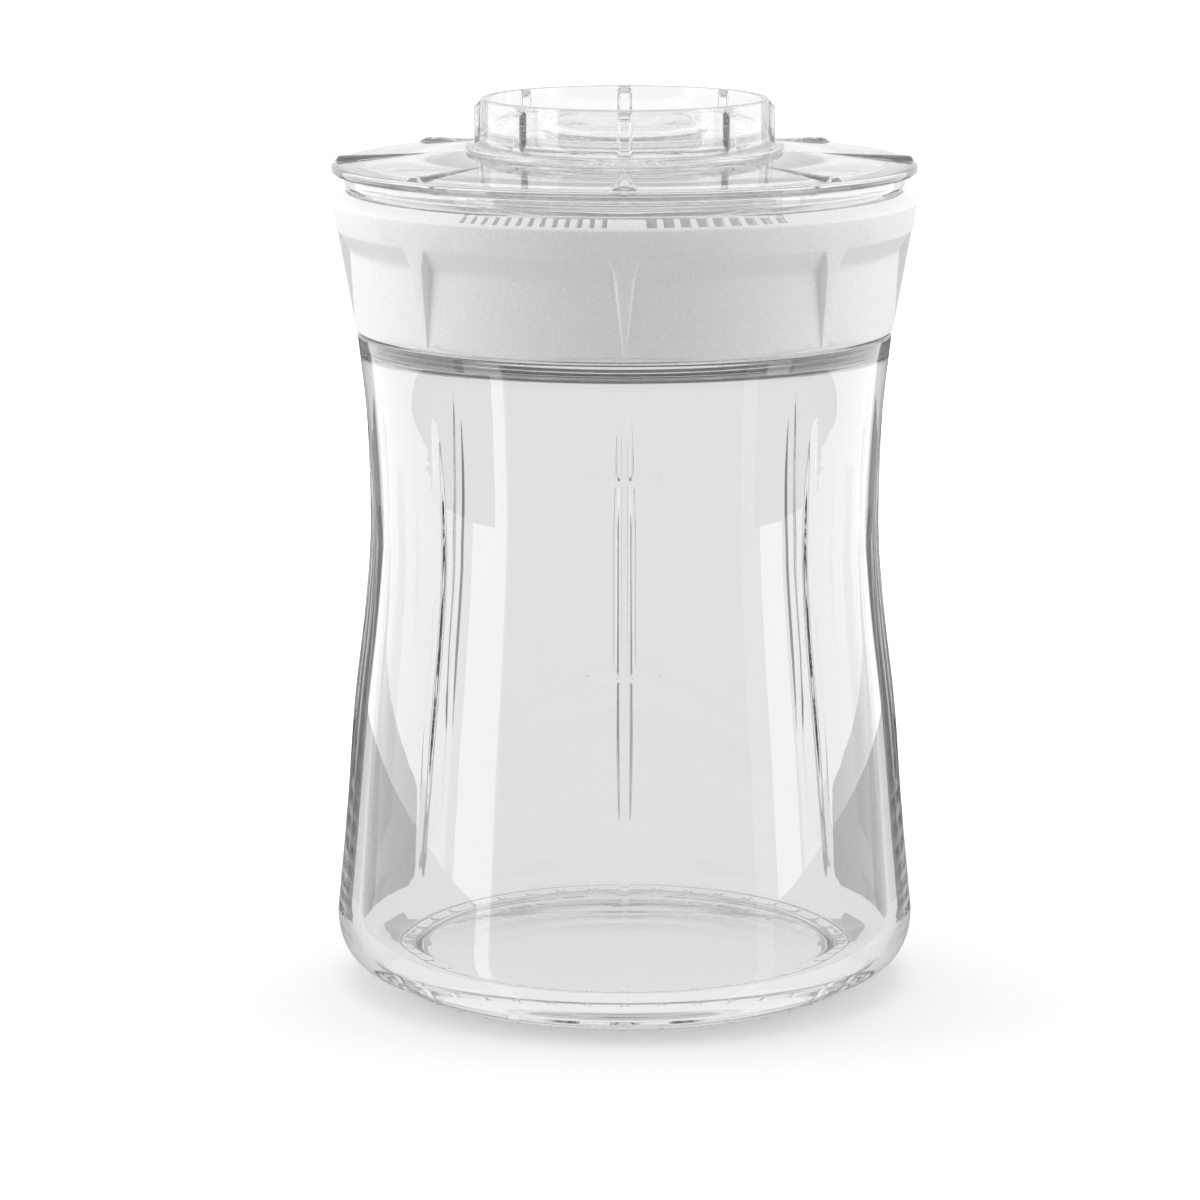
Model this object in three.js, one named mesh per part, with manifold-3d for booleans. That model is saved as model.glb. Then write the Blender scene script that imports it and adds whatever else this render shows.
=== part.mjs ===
// Kefir fermentation jar: a waisted glass jar with a screw-on strainer collar, a clear turning lid,
// a lift-out citrus reamer and a clear measuring cap, with a silicone seal at each joint.
// Units are millimetres, +Z is up, the front faces -Y, and the origin is the middle of the resting plane.

import * as THREE from 'three';
import { mergeVertices } from 'three/addons/utils/BufferGeometryUtils.js';
import Module from 'manifold-3d';

const wasm = await Module();
wasm.setup();

// Facets
const SEGMENTS = 40;
const CURVE_STEPS = 3;
const BODY_STEPS = 11;
const RIDGE_STEPS = 6;
const SECTOR_STEPS = 8;
const MERGE_DISTANCE = 1e-4;
const CUT_MARGIN = 1;
const FRONT = 0;
const REAR = 180;

// Glass: foot and heel
const FOOT_RADIUS = 46.4;
const FOOT_WIDTH = 3.6;
const FOOT_STEP = 2.5;
const HEEL_STEP = 0.8;
const HEEL_FULLNESS = 0.9;
const PUNT_RISE = 2;

// Glass: outline of the body, as radii and the rise from one to the next
const BELLY_RADIUS = 57.5;
const BELLY_HEIGHT = 14;
const HIP_RADIUS = 55.9;
const HIP_RISE = 16.3;
const FLANK_RADIUS = 53.6;
const FLANK_RISE = 23.4;
const LOIN_RADIUS = 50.9;
const LOIN_RISE = 22.5;
const WAIST_RADIUS = 49.8;
const WAIST_RISE = 16.8;
const CHEST_RADIUS = 50.75;
const CHEST_RISE = 19.5;
const SHOULDER_STEP = 3.8;
const SHOULDER_RISE = 18.2;
const SHOULDER_ROUND = 0.7;

// Glass: wall at the belly, the waist and the shoulder, inside, neck and mouth
const BELLY_WALL = 4.2;
const GLASS_WALL = 2.2;
const TOP_WALL = 2.8;
const FLOOR_THICKNESS = 4.6;
const FLOOR_RADIUS = 42.6;
const FLOOR_SWEEP = 8;
const NECK_RADIUS = 48.8;
const NECK_WALL = 3.8;
const NECK_HEIGHT = 17.7;
const SHOULDER_WALL = 2.5;
const SHOULDER_SWEEP = 2.6;

// Glass: low upright ribs with a flat crest
const RIB_COUNT = 8;
const RIB_FOOT = 32;
const RIB_HEIGHT = 87;
const RIB_FOOT_FADE = 30;
const RIB_TOP_FADE = 24;
const RIB_HALF_WIDTH = 2;
const RIB_CREST_HALF = 0.9;
const RIB_PROUD = 0.62;
const RIB_STEPS = 10;
const RIB_EDGE = 0.15;
const ROOT_DEPTH = 0.8;

// Glass: raised level marks at the front
const LOW_MARK_HEIGHT = 70.9;
const HIGH_MARK_HEIGHT = 108.6;
const MARK_LENGTH = 12.3;
const MARK_THICKNESS = 1.9;
const MARK_PROUD = 0.5;

// Thread between neck and collar
const THREAD_STARTS = 4;
const THREAD_LEAD = 20;
const THREAD_HEIGHT = 10.9;
const THREAD_CLEARANCE = 0.4;
const LUG_SWEEP = 56;
const LUG_STEPS = 6;
const LUG_DEPTH = 1.4;
const LUG_ROOT = 2.4;
const LUG_CREST = 1.4;

// Running gaps
const SHOULDER_GAP = 0.5;
const SEAL_GAP = 0.25;
const SEAT_GAP = 0.3;
const SIDE_GAP = 0.3;

// Strainer collar
const COLLAR_WALL = 2.45;
const COLLAR_EDGE = 0.5;
const LIP_CLEARANCE = 0.5;
const LIP_WALL = 2.3;
const LIP_LENGTH = 3.3;
const DECK_THICKNESS = 1.9;
const SEAT_DEPTH = 6.2;
const SEAT_DRAFT = 0.4;
const TOP_FACE_WIDTH = 2.9;
const TOP_FACE_DROP = 1.9;
const BAND_HEIGHT = 5.5;
const LEDGE_HEIGHT = 3.9;
const PANEL_INSET = 1.95;
const COLLAR_RIB_COUNT = 8;
const COLLAR_RIB_WIDTH = 5;
const COLLAR_RIB_NECK = 2.8;
const COLLAR_RIB_FLANK = 0.9;
const COLLAR_RIB_TIP = 0.3;

// Straining slots in the collar's sloping top face
const SLOT_DEPTH = 3.4;
const SLOT_LIP = 0.45;
const FINE_SLOT_COUNT = 13;
const FINE_SLOT_FIRST = 3.8;
const FINE_SLOT_PITCH = 2.4;
const FINE_SLOT_WIDTH = 0.95;
const COARSE_SLOT_COUNT = 9;
const COARSE_SLOT_FIRST = 5.2;
const COARSE_SLOT_PITCH = 3.3;
const COARSE_SLOT_WIDTH = 2.1;

// Main lid
const LID_STEP = 0.5;
const LID_STEP_RISE = 1.2;
const LID_SKIRT_WALL = 1.7;
const LID_PLATE = 2;
const LID_RIM_DROP = 2;
const LID_RIM_THICKNESS = 1.9;
const LID_CROWN_RISE = 2.1;
const LID_EDGE = 0.6;
const LID_RIDGE_COUNT = 8;
const LID_RIDGE_WIDTH = 6.2;
const LID_RIDGE_HEIGHT = 1;
const LID_RIDGE_LENGTH = 19;
const LID_RIDGE_INSET = 0.9;
const SPIGOT_WALL = 1.2;
const SPIGOT_FOOT = 1.2;
const WINDOW_SWEEP = 60;
const WINDOW_HEIGHT = 2.8;

// Socket in the lid, with the reamer and the cap
const SOCKET_RADIUS = 29.4;
const SOCKET_WALL = 1.6;
const SOCKET_LEDGE = 2.8;
const LEDGE_THICKNESS = 1.4;
const BOSS_WIDTH = 2.45;
const REAMER_FLANGE = 1.2;
const REAMER_CONE_RADIUS = 14;
const REAMER_WALL = 1.6;
const REAMER_TIP_RADIUS = 2.4;
const REAMER_TIP_GAP = 1.8;
const REAMER_FLUTES = 10;
const REAMER_FLUTE_HEIGHT = 1.5;
const REAMER_FLUTE_HALF = 1.6;
const DRAIN_COUNT = 12;
const DRAIN_WIDTH = 2.2;
const DRAIN_MARGIN = 2.4;
const PLUG_REAMER_GAP = 0.8;
const PLUG_LENGTH = 4.2;
const PLUG_GAP = 1.7;
const PLUG_WALL = 2.1;
const PLUG_LAND = 0.6;
const CAP_GAP = 0.5;
const CAP_HEIGHT = 9.9;
const CAP_RADIUS = 28.25;
const CAP_WALL = 1.35;
const CAP_FLOOR = 1.5;
const CAP_FLOOR_RISE = 1.7;
const CAP_FLANGE_WIDTH = 1.8;
const CAP_FLANGE_EDGE = 0.6;
const CAP_FLARE_RISE = 3.6;
const CAP_RIM_ROUND = 0.4;
const DOME_RADIUS = 15;
const DOME_RISE = 2.4;
const CAP_RIB_COUNT = 8;
const CAP_RIB_WIDTH = 2.7;
const CAP_RIB_PROUD = 1.2;
const CAP_RIB_DROP = 1.5;

// Seals
const NECK_SEAL_THICKNESS = 1.4;
const LID_SEAL_THICKNESS = 1.6;
const CAP_SEAL_THICKNESS = 1.8;
const CAP_SEAL_DEPTH = 0.6;

// Heights that follow from the driving dimensions
const hipHeight = BELLY_HEIGHT + HIP_RISE;
const flankHeight = hipHeight + FLANK_RISE;
const loinHeight = flankHeight + LOIN_RISE;
const waistHeight = loinHeight + WAIST_RISE;
const chestHeight = waistHeight + CHEST_RISE;
const shoulderHeight = chestHeight + SHOULDER_RISE;
const neckTop = shoulderHeight + NECK_HEIGHT;
const collarBottom = shoulderHeight + SHOULDER_GAP;
const neckSealBottom = neckTop + SEAL_GAP;
const deckBottom = neckSealBottom + NECK_SEAL_THICKNESS + SEAL_GAP;
const deckTop = deckBottom + DECK_THICKNESS;
const collarTop = deckTop + SEAT_DEPTH;
const collarEdge = collarTop - TOP_FACE_DROP;
const ledgeTop = collarEdge - BAND_HEIGHT;
const ledgeBottom = ledgeTop - LEDGE_HEIGHT;
const lidSealBottom = deckTop + SEAL_GAP;
const spigotTop = lidSealBottom + LID_SEAL_THICKNESS + SEAL_GAP;
const lidStep = collarTop + SEAT_GAP;
const lidRimBottom = lidStep + LID_STEP_RISE + LID_RIM_DROP;
const lidRimTop = lidRimBottom + LID_RIM_THICKNESS;
const bossTop = lidRimTop + LID_CROWN_RISE;
const capBottom = bossTop + CAP_GAP;
const plugBottom = capBottom - PLUG_LENGTH;
const reamerTop = plugBottom - PLUG_REAMER_GAP;
const reamerBottom = reamerTop - REAMER_FLANGE;
const socketLedgeTop = reamerBottom - SEAL_GAP;
const socketBottom = socketLedgeTop - LEDGE_THICKNESS;
const capTop = capBottom + CAP_HEIGHT;
const capFloorBottom = capBottom + CAP_FLOOR_RISE;
const capFloorTop = capFloorBottom + CAP_FLOOR;
const reamerTip = capFloorBottom + DOME_RISE - REAMER_TIP_GAP;
const grooveBottom = plugBottom + PLUG_LAND;
const grooveTop = grooveBottom + CAP_SEAL_THICKNESS + 2 * SEAL_GAP;

// Outline of the glass body from the belly to the shoulder, and its widest place
const shoulderRadius = NECK_RADIUS + SHOULDER_STEP;
const bodyCurve = new THREE.SplineCurve([
  [BELLY_RADIUS, BELLY_HEIGHT],
  [HIP_RADIUS, hipHeight],
  [FLANK_RADIUS, flankHeight],
  [LOIN_RADIUS, loinHeight],
  [WAIST_RADIUS, waistHeight],
  [CHEST_RADIUS, chestHeight],
  [shoulderRadius, shoulderHeight - SHOULDER_ROUND],
].map(([radius, height]) => new THREE.Vector2(radius, height)));
const bodyOutline = bodyCurve.getPoints(BODY_STEPS).map(({ x, y }) => [x, y]);
const widestRadius = Math.max(...bodyOutline.map(([radius]) => radius));

// Radii that follow from the driving dimensions; collar and lid are as wide as the glass
const mouthRadius = NECK_RADIUS - NECK_WALL;
const boreRadius = NECK_RADIUS + LUG_DEPTH + THREAD_CLEARANCE;
const collarBottomRadius = boreRadius + COLLAR_WALL;
const collarTopRadius = widestRadius;
const lipOuter = mouthRadius - LIP_CLEARANCE;
const lipInner = lipOuter - LIP_WALL;
const seatTopRadius = collarTopRadius - TOP_FACE_WIDTH;
const seatRadius = seatTopRadius - SEAT_DRAFT;
const skirtRadius = seatRadius - SIDE_GAP;
const skirtInner = skirtRadius - LID_SKIRT_WALL;
const spigotOuter = skirtInner - SIDE_GAP;
const spigotInner = spigotOuter - SPIGOT_WALL;
const lidStepRadius = seatTopRadius + LID_STEP;
const lidRimRadius = collarTopRadius;
const bossRadius = SOCKET_RADIUS + BOSS_WIDTH;
const socketOuter = SOCKET_RADIUS + SOCKET_WALL;
const ledgeInner = SOCKET_RADIUS - SOCKET_LEDGE;
const reamerRadius = SOCKET_RADIUS - SIDE_GAP;
const plugRadius = SOCKET_RADIUS - PLUG_GAP;
const plugInner = plugRadius - PLUG_WALL;
const grooveRadius = plugRadius - CAP_SEAL_DEPTH;
const capFlangeRadius = SOCKET_RADIUS + CAP_FLANGE_WIDTH;
const capInner = CAP_RADIUS - CAP_WALL;

// Geometry helpers

// A point at an angle in degrees from the front, turning towards +X.
function polar(radius, angle, height) {
  const turn = THREE.MathUtils.degToRad(angle);
  return new THREE.Vector3(radius * Math.sin(turn), -radius * Math.cos(turn), height);
}

// A closed solid from a three.js geometry, with shared corners merged and slivers on the axis dropped.
function solidFrom(geometry) {
  geometry.deleteAttribute('normal');
  geometry.deleteAttribute('uv');
  const merged = mergeVertices(geometry, MERGE_DISTANCE);
  const corners = merged.index.array;
  const kept = [];
  for (let i = 0; i < corners.length; i += 3) {
    const [a, b, c] = corners.slice(i, i + 3);
    if (a !== b && b !== c && c !== a) kept.push(a, b, c);
  }
  return new wasm.Manifold(new wasm.Mesh({
    numProp: 3,
    vertProperties: new Float32Array(merged.attributes.position.array),
    triVerts: new Uint32Array(kept),
  }));
}

// A named mesh of a finished solid.
function meshFrom(name, solid, material) {
  const { vertProperties, triVerts } = solid.getMesh();
  const geometry = new THREE.BufferGeometry();
  geometry.setAttribute('position', new THREE.BufferAttribute(new Float32Array(vertProperties), 3));
  geometry.setIndex(new THREE.BufferAttribute(new Uint32Array(triVerts), 1));
  geometry.computeVertexNormals();
  const mesh = new THREE.Mesh(geometry, material);
  mesh.name = name;
  return mesh;
}

// A solid of revolution. The outline is walked with the material on its left, from axis to axis or as a ring.
function turned(outline) {
  const points = outline.map(([radius, height]) => new THREE.Vector2(radius, height));
  if (points[0].x > 0) points.push(points[0].clone());
  const geometry = new THREE.LatheGeometry(points, SEGMENTS);
  return solidFrom(geometry.rotateX(Math.PI / 2));
}

// A plain ring of rectangular section.
function ring(inner, outer, bottom, height) {
  return turned([[inner, bottom], [outer, bottom], [outer, bottom + height], [inner, bottom + height]]);
}

// Points of a round corner between two outline points, bent towards a third.
function swept(from, corner, to) {
  const [start, bend, end] = [from, corner, to].map(([x, y]) => new THREE.Vector2(x, y));
  return new THREE.QuadraticBezierCurve(start, bend, end).getPoints(CURVE_STEPS).map(({ x, y }) => [x, y]);
}

// A solid through sections of equal point counts, each counter-clockwise as seen from the far end,
// turned about the jar's axis by an angle in degrees.
function lofted(sections, angle = 0) {
  const count = sections[0].length;
  const positions = sections.flat().flatMap((point) => point.toArray());
  const index = [];
  for (let s = 0; s + 1 < sections.length; s += 1) {
    for (let i = 0; i < count; i += 1) {
      const a = s * count + i;
      const b = s * count + ((i + 1) % count);
      index.push(a, b, b + count, a, b + count, a + count);
    }
  }
  const last = (sections.length - 1) * count;
  for (let i = 1; i + 1 < count; i += 1) {
    index.push(0, i + 1, i);
    index.push(last, last + i, last + i + 1);
  }
  const geometry = new THREE.BufferGeometry();
  geometry.setAttribute('position', new THREE.Float32BufferAttribute(positions, 3));
  geometry.setIndex(index);
  return solidFrom(geometry.rotateZ(THREE.MathUtils.degToRad(angle)));
}

// An upright rib through stations of height, root and crest radius, and half widths at root and crest.
function rib(angle, stations) {
  const sections = stations.map(({ height, root, crest, rootHalf, crestHalf }) => [
    [root, -rootHalf], [crest, -crestHalf], [crest, crestHalf], [root, rootHalf],
  ].map(([radius, side]) => new THREE.Vector3(side, -radius, height)));
  return lofted(sections, angle);
}

// The same solid made at equal steps round the axis, joined to a base.
function joinedRound(base, count, make) {
  let result = base;
  for (let i = 0; i < count; i += 1) result = result.add(make((360 / count) * i));
  return result;
}

// One thread lug on a helix, from a section of radius and rise pairs.
function lug(section, angle, height) {
  const sections = [];
  for (let step = 0; step <= LUG_STEPS; step += 1) {
    const along = (step / LUG_STEPS - 0.5) * LUG_SWEEP;
    const lift = height + (THREAD_LEAD * along) / 360;
    sections.push(section.map(([radius, rise]) => polar(radius, angle + along, lift + rise)));
  }
  return lofted(sections);
}

// A radial box that cuts from one radius to another.
function radialBox(angle, inner, outer, width, bottom, height) {
  const geometry = new THREE.BoxGeometry(width, outer - inner, height);
  geometry.translate(0, -(inner + outer) / 2, bottom + height / 2);
  return solidFrom(geometry.rotateZ(THREE.MathUtils.degToRad(angle)));
}

// A sector of a flat ring, centred on an angle.
function sector(angle, sweep, inner, outer, bottom, height) {
  const middle = THREE.MathUtils.degToRad(angle - 90);
  const half = THREE.MathUtils.degToRad(sweep / 2);
  const shape = new THREE.Shape();
  shape.absarc(0, 0, outer, middle - half, middle + half, false);
  shape.absarc(0, 0, inner, middle + half, middle - half, true);
  const geometry = new THREE.ExtrudeGeometry(shape, {
    depth: height,
    bevelEnabled: false,
    curveSegments: SECTOR_STEPS,
  });
  return solidFrom(geometry.translate(0, 0, bottom));
}

// Glass jar

// Outside radius of the glass body at a height, along the faceted outline.
function bodyRadius(height) {
  const above = bodyOutline.findIndex(([, level]) => level > height);
  if (above <= 0) return bodyOutline.at(above)[0];
  const [lowRadius, low] = bodyOutline[above - 1];
  const [highRadius, high] = bodyOutline[above];
  return THREE.MathUtils.mapLinear(height, low, high, lowRadius, highRadius);
}

// Inside radius of the glass body at a height; the wall is thinnest at the waist.
function innerRadius(height) {
  const wall = height < waistHeight
    ? THREE.MathUtils.mapLinear(height, BELLY_HEIGHT, waistHeight, BELLY_WALL, GLASS_WALL)
    : THREE.MathUtils.mapLinear(height, waistHeight, shoulderHeight, GLASS_WALL, TOP_WALL);
  return bodyRadius(height) - wall;
}

// An upright rib with a flat crest and sloping flanks, which runs out into the glass at its ends.
function glassRib(angle) {
  const slope = RIB_PROUD / (RIB_HALF_WIDTH - RIB_CREST_HALF);
  const ribTop = RIB_FOOT + RIB_HEIGHT;
  const stations = [];
  for (let step = 0; step <= RIB_STEPS; step += 1) {
    const height = RIB_FOOT + (step / RIB_STEPS) * RIB_HEIGHT;
    const grown = THREE.MathUtils.smoothstep(height, RIB_FOOT, RIB_FOOT + RIB_FOOT_FADE);
    const faded = THREE.MathUtils.smoothstep(height, ribTop - RIB_TOP_FADE, ribTop);
    const proud = RIB_PROUD * grown * (1 - faded);
    stations.push({
      height,
      root: bodyRadius(height) - ROOT_DEPTH,
      crest: bodyRadius(height) + proud,
      rootHalf: RIB_CREST_HALF + (ROOT_DEPTH + proud) / slope,
      crestHalf: RIB_CREST_HALF,
    });
  }
  return rib(angle, stations);
}

// A raised mark along the front of the glass at a height.
function levelMark(height) {
  const radius = bodyRadius(height);
  const sweep = THREE.MathUtils.radToDeg(MARK_LENGTH / radius);
  return sector(FRONT, sweep, radius - ROOT_DEPTH, radius + MARK_PROUD, height - MARK_THICKNESS / 2,
    MARK_THICKNESS);
}

function glassJar() {
  const floorTop = PUNT_RISE + FLOOR_THICKNESS;
  const wallFoot = floorTop + FLOOR_SWEEP;
  const wallTop = shoulderHeight - SHOULDER_WALL - SHOULDER_SWEEP;
  const innerHeights = bodyOutline.map(([, height]) => height)
    .filter((height) => height > wallFoot && height < wallTop);
  const footInner = innerRadius(wallFoot);
  const topInner = innerRadius(wallTop);
  const solid = turned([
    [0, PUNT_RISE],
    [FOOT_RADIUS - FOOT_WIDTH - PUNT_RISE, PUNT_RISE],
    [FOOT_RADIUS - FOOT_WIDTH, 0],
    [FOOT_RADIUS, 0],
    [FOOT_RADIUS, FOOT_STEP],
    ...swept([FOOT_RADIUS + HEEL_STEP, FOOT_STEP], [BELLY_RADIUS, FOOT_STEP + HEEL_FULLNESS],
      [BELLY_RADIUS, BELLY_HEIGHT]),
    ...bodyOutline.slice(1),
    [shoulderRadius - SHOULDER_ROUND, shoulderHeight],
    [NECK_RADIUS, shoulderHeight],
    [NECK_RADIUS, neckTop],
    [mouthRadius, neckTop],
    ...swept([mouthRadius, shoulderHeight],
      [mouthRadius, shoulderHeight - SHOULDER_WALL],
      [mouthRadius + SHOULDER_SWEEP / 2, shoulderHeight - SHOULDER_WALL]),
    ...swept([topInner - SHOULDER_SWEEP / 2, shoulderHeight - SHOULDER_WALL],
      [topInner, shoulderHeight - SHOULDER_WALL], [topInner, wallTop]),
    ...innerHeights.reverse().map((height) => [innerRadius(height), height]),
    ...swept([footInner, wallFoot], [footInner, floorTop], [FLOOR_RADIUS, floorTop]),
    [0, floorTop],
  ]);
  const neckLug = [
    [NECK_RADIUS - ROOT_DEPTH, -LUG_ROOT / 2], [NECK_RADIUS - ROOT_DEPTH, LUG_ROOT / 2],
    [NECK_RADIUS + LUG_DEPTH, LUG_CREST / 2], [NECK_RADIUS + LUG_DEPTH, -LUG_CREST / 2],
  ];
  const marked = solid.add(levelMark(LOW_MARK_HEIGHT)).add(levelMark(HIGH_MARK_HEIGHT));
  const ribbed = joinedRound(marked, RIB_COUNT, glassRib);
  return joinedRound(ribbed, THREAD_STARTS, (angle) => lug(neckLug, angle, shoulderHeight + THREAD_HEIGHT));
}

// Strainer collar

// Outside radius of the collar's cone at a height.
function coneRadius(height) {
  return THREE.MathUtils.mapLinear(height, collarBottom, collarEdge, collarBottomRadius, collarTopRadius);
}

// A rib that carries the cone down over the recessed panels to a point.
function collarRib(angle) {
  const panelTop = coneRadius(ledgeBottom) - PANEL_INSET;
  const low = collarBottom + COLLAR_EDGE;
  const root = (height) => THREE.MathUtils.mapLinear(height, low, ledgeBottom, collarBottomRadius, panelTop);
  const station = (height, width) => ({
    height,
    root: Math.min(root(height), panelTop) - ROOT_DEPTH,
    crest: coneRadius(height),
    rootHalf: width / 2 + COLLAR_RIB_FLANK * (height - low) / (ledgeTop - low),
    crestHalf: width / 2,
  });
  return rib(angle, [
    station(low, COLLAR_RIB_TIP),
    station(ledgeBottom, COLLAR_RIB_NECK),
    station((ledgeBottom + ledgeTop) / 2, (COLLAR_RIB_NECK + COLLAR_RIB_WIDTH) / 2 - COLLAR_RIB_TIP),
    station(ledgeTop, COLLAR_RIB_WIDTH),
  ]);
}

function strainerCollar() {
  let collar = turned([
    [lipInner, deckBottom - LIP_LENGTH],
    [lipOuter, deckBottom - LIP_LENGTH],
    [lipOuter, deckBottom],
    [boreRadius, deckBottom],
    [boreRadius, collarBottom],
    [collarBottomRadius - COLLAR_EDGE, collarBottom],
    [collarBottomRadius, collarBottom + COLLAR_EDGE],
    [coneRadius(ledgeBottom) - PANEL_INSET, ledgeBottom],
    [coneRadius(ledgeTop), ledgeTop],
    [coneRadius(collarEdge - COLLAR_EDGE), collarEdge - COLLAR_EDGE],
    [collarTopRadius - COLLAR_EDGE / 2, collarEdge + COLLAR_EDGE / 4],
    [seatTopRadius, collarTop],
    [seatRadius, deckTop],
    [lipInner, deckTop],
  ]);
  const collarLug = [
    [boreRadius - LUG_DEPTH, -LUG_CREST / 2], [boreRadius - LUG_DEPTH, LUG_CREST / 2],
    [boreRadius + ROOT_DEPTH, LUG_ROOT / 2], [boreRadius + ROOT_DEPTH, -LUG_ROOT / 2],
  ];
  const underNeckLug = shoulderHeight + THREAD_HEIGHT - THREAD_LEAD / THREAD_STARTS / 2;
  collar = joinedRound(collar, COLLAR_RIB_COUNT, collarRib);
  collar = joinedRound(collar, THREAD_STARTS, (angle) => lug(collarLug, angle, underNeckLug));
  const slotFloor = collarTop - SLOT_DEPTH;
  const slotEnd = coneRadius(slotFloor) - SLOT_LIP;
  const slot = (angle, width) => radialBox(angle, skirtInner, slotEnd, width, slotFloor, SEAT_DEPTH);
  for (let i = 0; i < FINE_SLOT_COUNT; i += 1) {
    collar = collar.subtract(slot(-FINE_SLOT_FIRST - FINE_SLOT_PITCH * i, FINE_SLOT_WIDTH));
  }
  for (let i = 0; i < COARSE_SLOT_COUNT; i += 1) {
    collar = collar.subtract(slot(COARSE_SLOT_FIRST + COARSE_SLOT_PITCH * i, COARSE_SLOT_WIDTH));
  }
  return collar;
}

// Main lid

// Height of the lid's sloping top at a radius.
function crownHeight(radius) {
  return THREE.MathUtils.mapLinear(radius, bossRadius, lidRimRadius, bossTop, lidRimTop);
}

// A half-round ridge, rooted in the sloping top, that swells outwards and ends just inside the rim.
function lidRidge(angle) {
  const station = (radius, share) => {
    const root = crownHeight(radius) - ROOT_DEPTH * share;
    const section = [];
    for (let step = 0; step <= RIDGE_STEPS; step += 1) {
      const turn = (Math.PI * step) / RIDGE_STEPS;
      const side = (LID_RIDGE_WIDTH / 2) * share * Math.cos(turn);
      const rise = (LID_RIDGE_HEIGHT + ROOT_DEPTH) * share * Math.sin(turn);
      section.push(new THREE.Vector3(side, -radius, root + rise));
    }
    return section;
  };
  const outer = lidRimRadius - LID_RIDGE_INSET;
  return lofted([station(outer - LID_RIDGE_LENGTH, RIB_EDGE), station(outer, 1)], angle);
}

function mainLid() {
  const plateUnder = (radius) => crownHeight(radius) - LID_PLATE;
  const lid = turned([
    [spigotInner, spigotTop - LID_SEAL_THICKNESS],
    [spigotOuter, spigotTop - LID_SEAL_THICKNESS],
    [spigotOuter, spigotTop],
    [skirtRadius, spigotTop],
    [skirtRadius, lidStep],
    [seatTopRadius, lidStep],
    [lidStepRadius, lidStep + LID_STEP_RISE],
    [lidStepRadius, lidRimBottom],
    [lidRimRadius - LID_EDGE, lidRimBottom],
    [lidRimRadius, lidRimBottom + LID_EDGE],
    [lidRimRadius, lidRimTop - LID_EDGE],
    [lidRimRadius - LID_EDGE, crownHeight(lidRimRadius - LID_EDGE)],
    [bossRadius, bossTop],
    [SOCKET_RADIUS, bossTop],
    [SOCKET_RADIUS, socketLedgeTop],
    [ledgeInner, socketLedgeTop],
    [ledgeInner, socketBottom],
    [socketOuter, socketBottom],
    [socketOuter, plateUnder(socketOuter)],
    [skirtInner, plateUnder(skirtInner)],
    [skirtInner, spigotTop + SPIGOT_FOOT],
    [spigotInner, spigotTop + SPIGOT_FOOT],
  ]);
  const pourWindow = sector(REAR, WINDOW_SWEEP, skirtInner - CUT_MARGIN, skirtRadius + CUT_MARGIN,
    lidStep - WINDOW_HEIGHT, WINDOW_HEIGHT);
  return joinedRound(lid, LID_RIDGE_COUNT, lidRidge).subtract(pourWindow);
}

// Citrus reamer

function citrusReamer() {
  const cone = (height) => THREE.MathUtils.mapLinear(height, reamerTop, reamerTip,
    REAMER_CONE_RADIUS, REAMER_TIP_RADIUS);
  const shoulder = reamerTip - REAMER_WALL / 2;
  let reamer = turned([
    [0, reamerTip - REAMER_WALL],
    [REAMER_TIP_RADIUS, reamerTip - REAMER_WALL],
    [REAMER_CONE_RADIUS - REAMER_WALL / 2, reamerBottom],
    [reamerRadius, reamerBottom],
    [reamerRadius, reamerTop],
    [REAMER_CONE_RADIUS, reamerTop],
    [cone(shoulder), shoulder],
    [REAMER_TIP_RADIUS / 2, reamerTip],
    [0, reamerTip],
  ]);
  const flute = (angle) => rib(angle, [reamerTop - REAMER_FLANGE / 2, shoulder].map((height) => ({
    height,
    root: cone(height) - REAMER_WALL / 2,
    crest: cone(height) + REAMER_FLUTE_HEIGHT * (cone(height) / REAMER_CONE_RADIUS),
    rootHalf: REAMER_FLUTE_HALF * (cone(height) / REAMER_CONE_RADIUS),
    crestHalf: RIB_EDGE,
  })));
  reamer = joinedRound(reamer, REAMER_FLUTES, flute);
  const drainInner = REAMER_CONE_RADIUS + REAMER_FLUTE_HEIGHT + DRAIN_MARGIN / 2;
  const drainOuter = ledgeInner - DRAIN_MARGIN;
  for (let i = 0; i < DRAIN_COUNT; i += 1) {
    const angle = (360 / DRAIN_COUNT) * i;
    reamer = reamer.subtract(radialBox(angle, drainInner, drainOuter, DRAIN_WIDTH,
      reamerBottom - CUT_MARGIN, REAMER_FLANGE + 2 * CUT_MARGIN));
  }
  return reamer;
}

// Measuring cap

// An upright grip rib on the cap's wall, sloped off at the rim.
function capRib(angle) {
  const top = capTop - CAP_RIM_ROUND;
  const station = (height, proud) => ({
    height,
    root: CAP_RADIUS - ROOT_DEPTH,
    crest: CAP_RADIUS + proud,
    rootHalf: CAP_RIB_WIDTH / 2,
    crestHalf: CAP_RIB_WIDTH / 4,
  });
  return rib(angle, [
    station(capBottom + CAP_FLANGE_EDGE, CAP_RIB_PROUD),
    station(top - CAP_RIB_DROP, CAP_RIB_PROUD),
    station(top, RIB_EDGE),
  ]);
}

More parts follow.
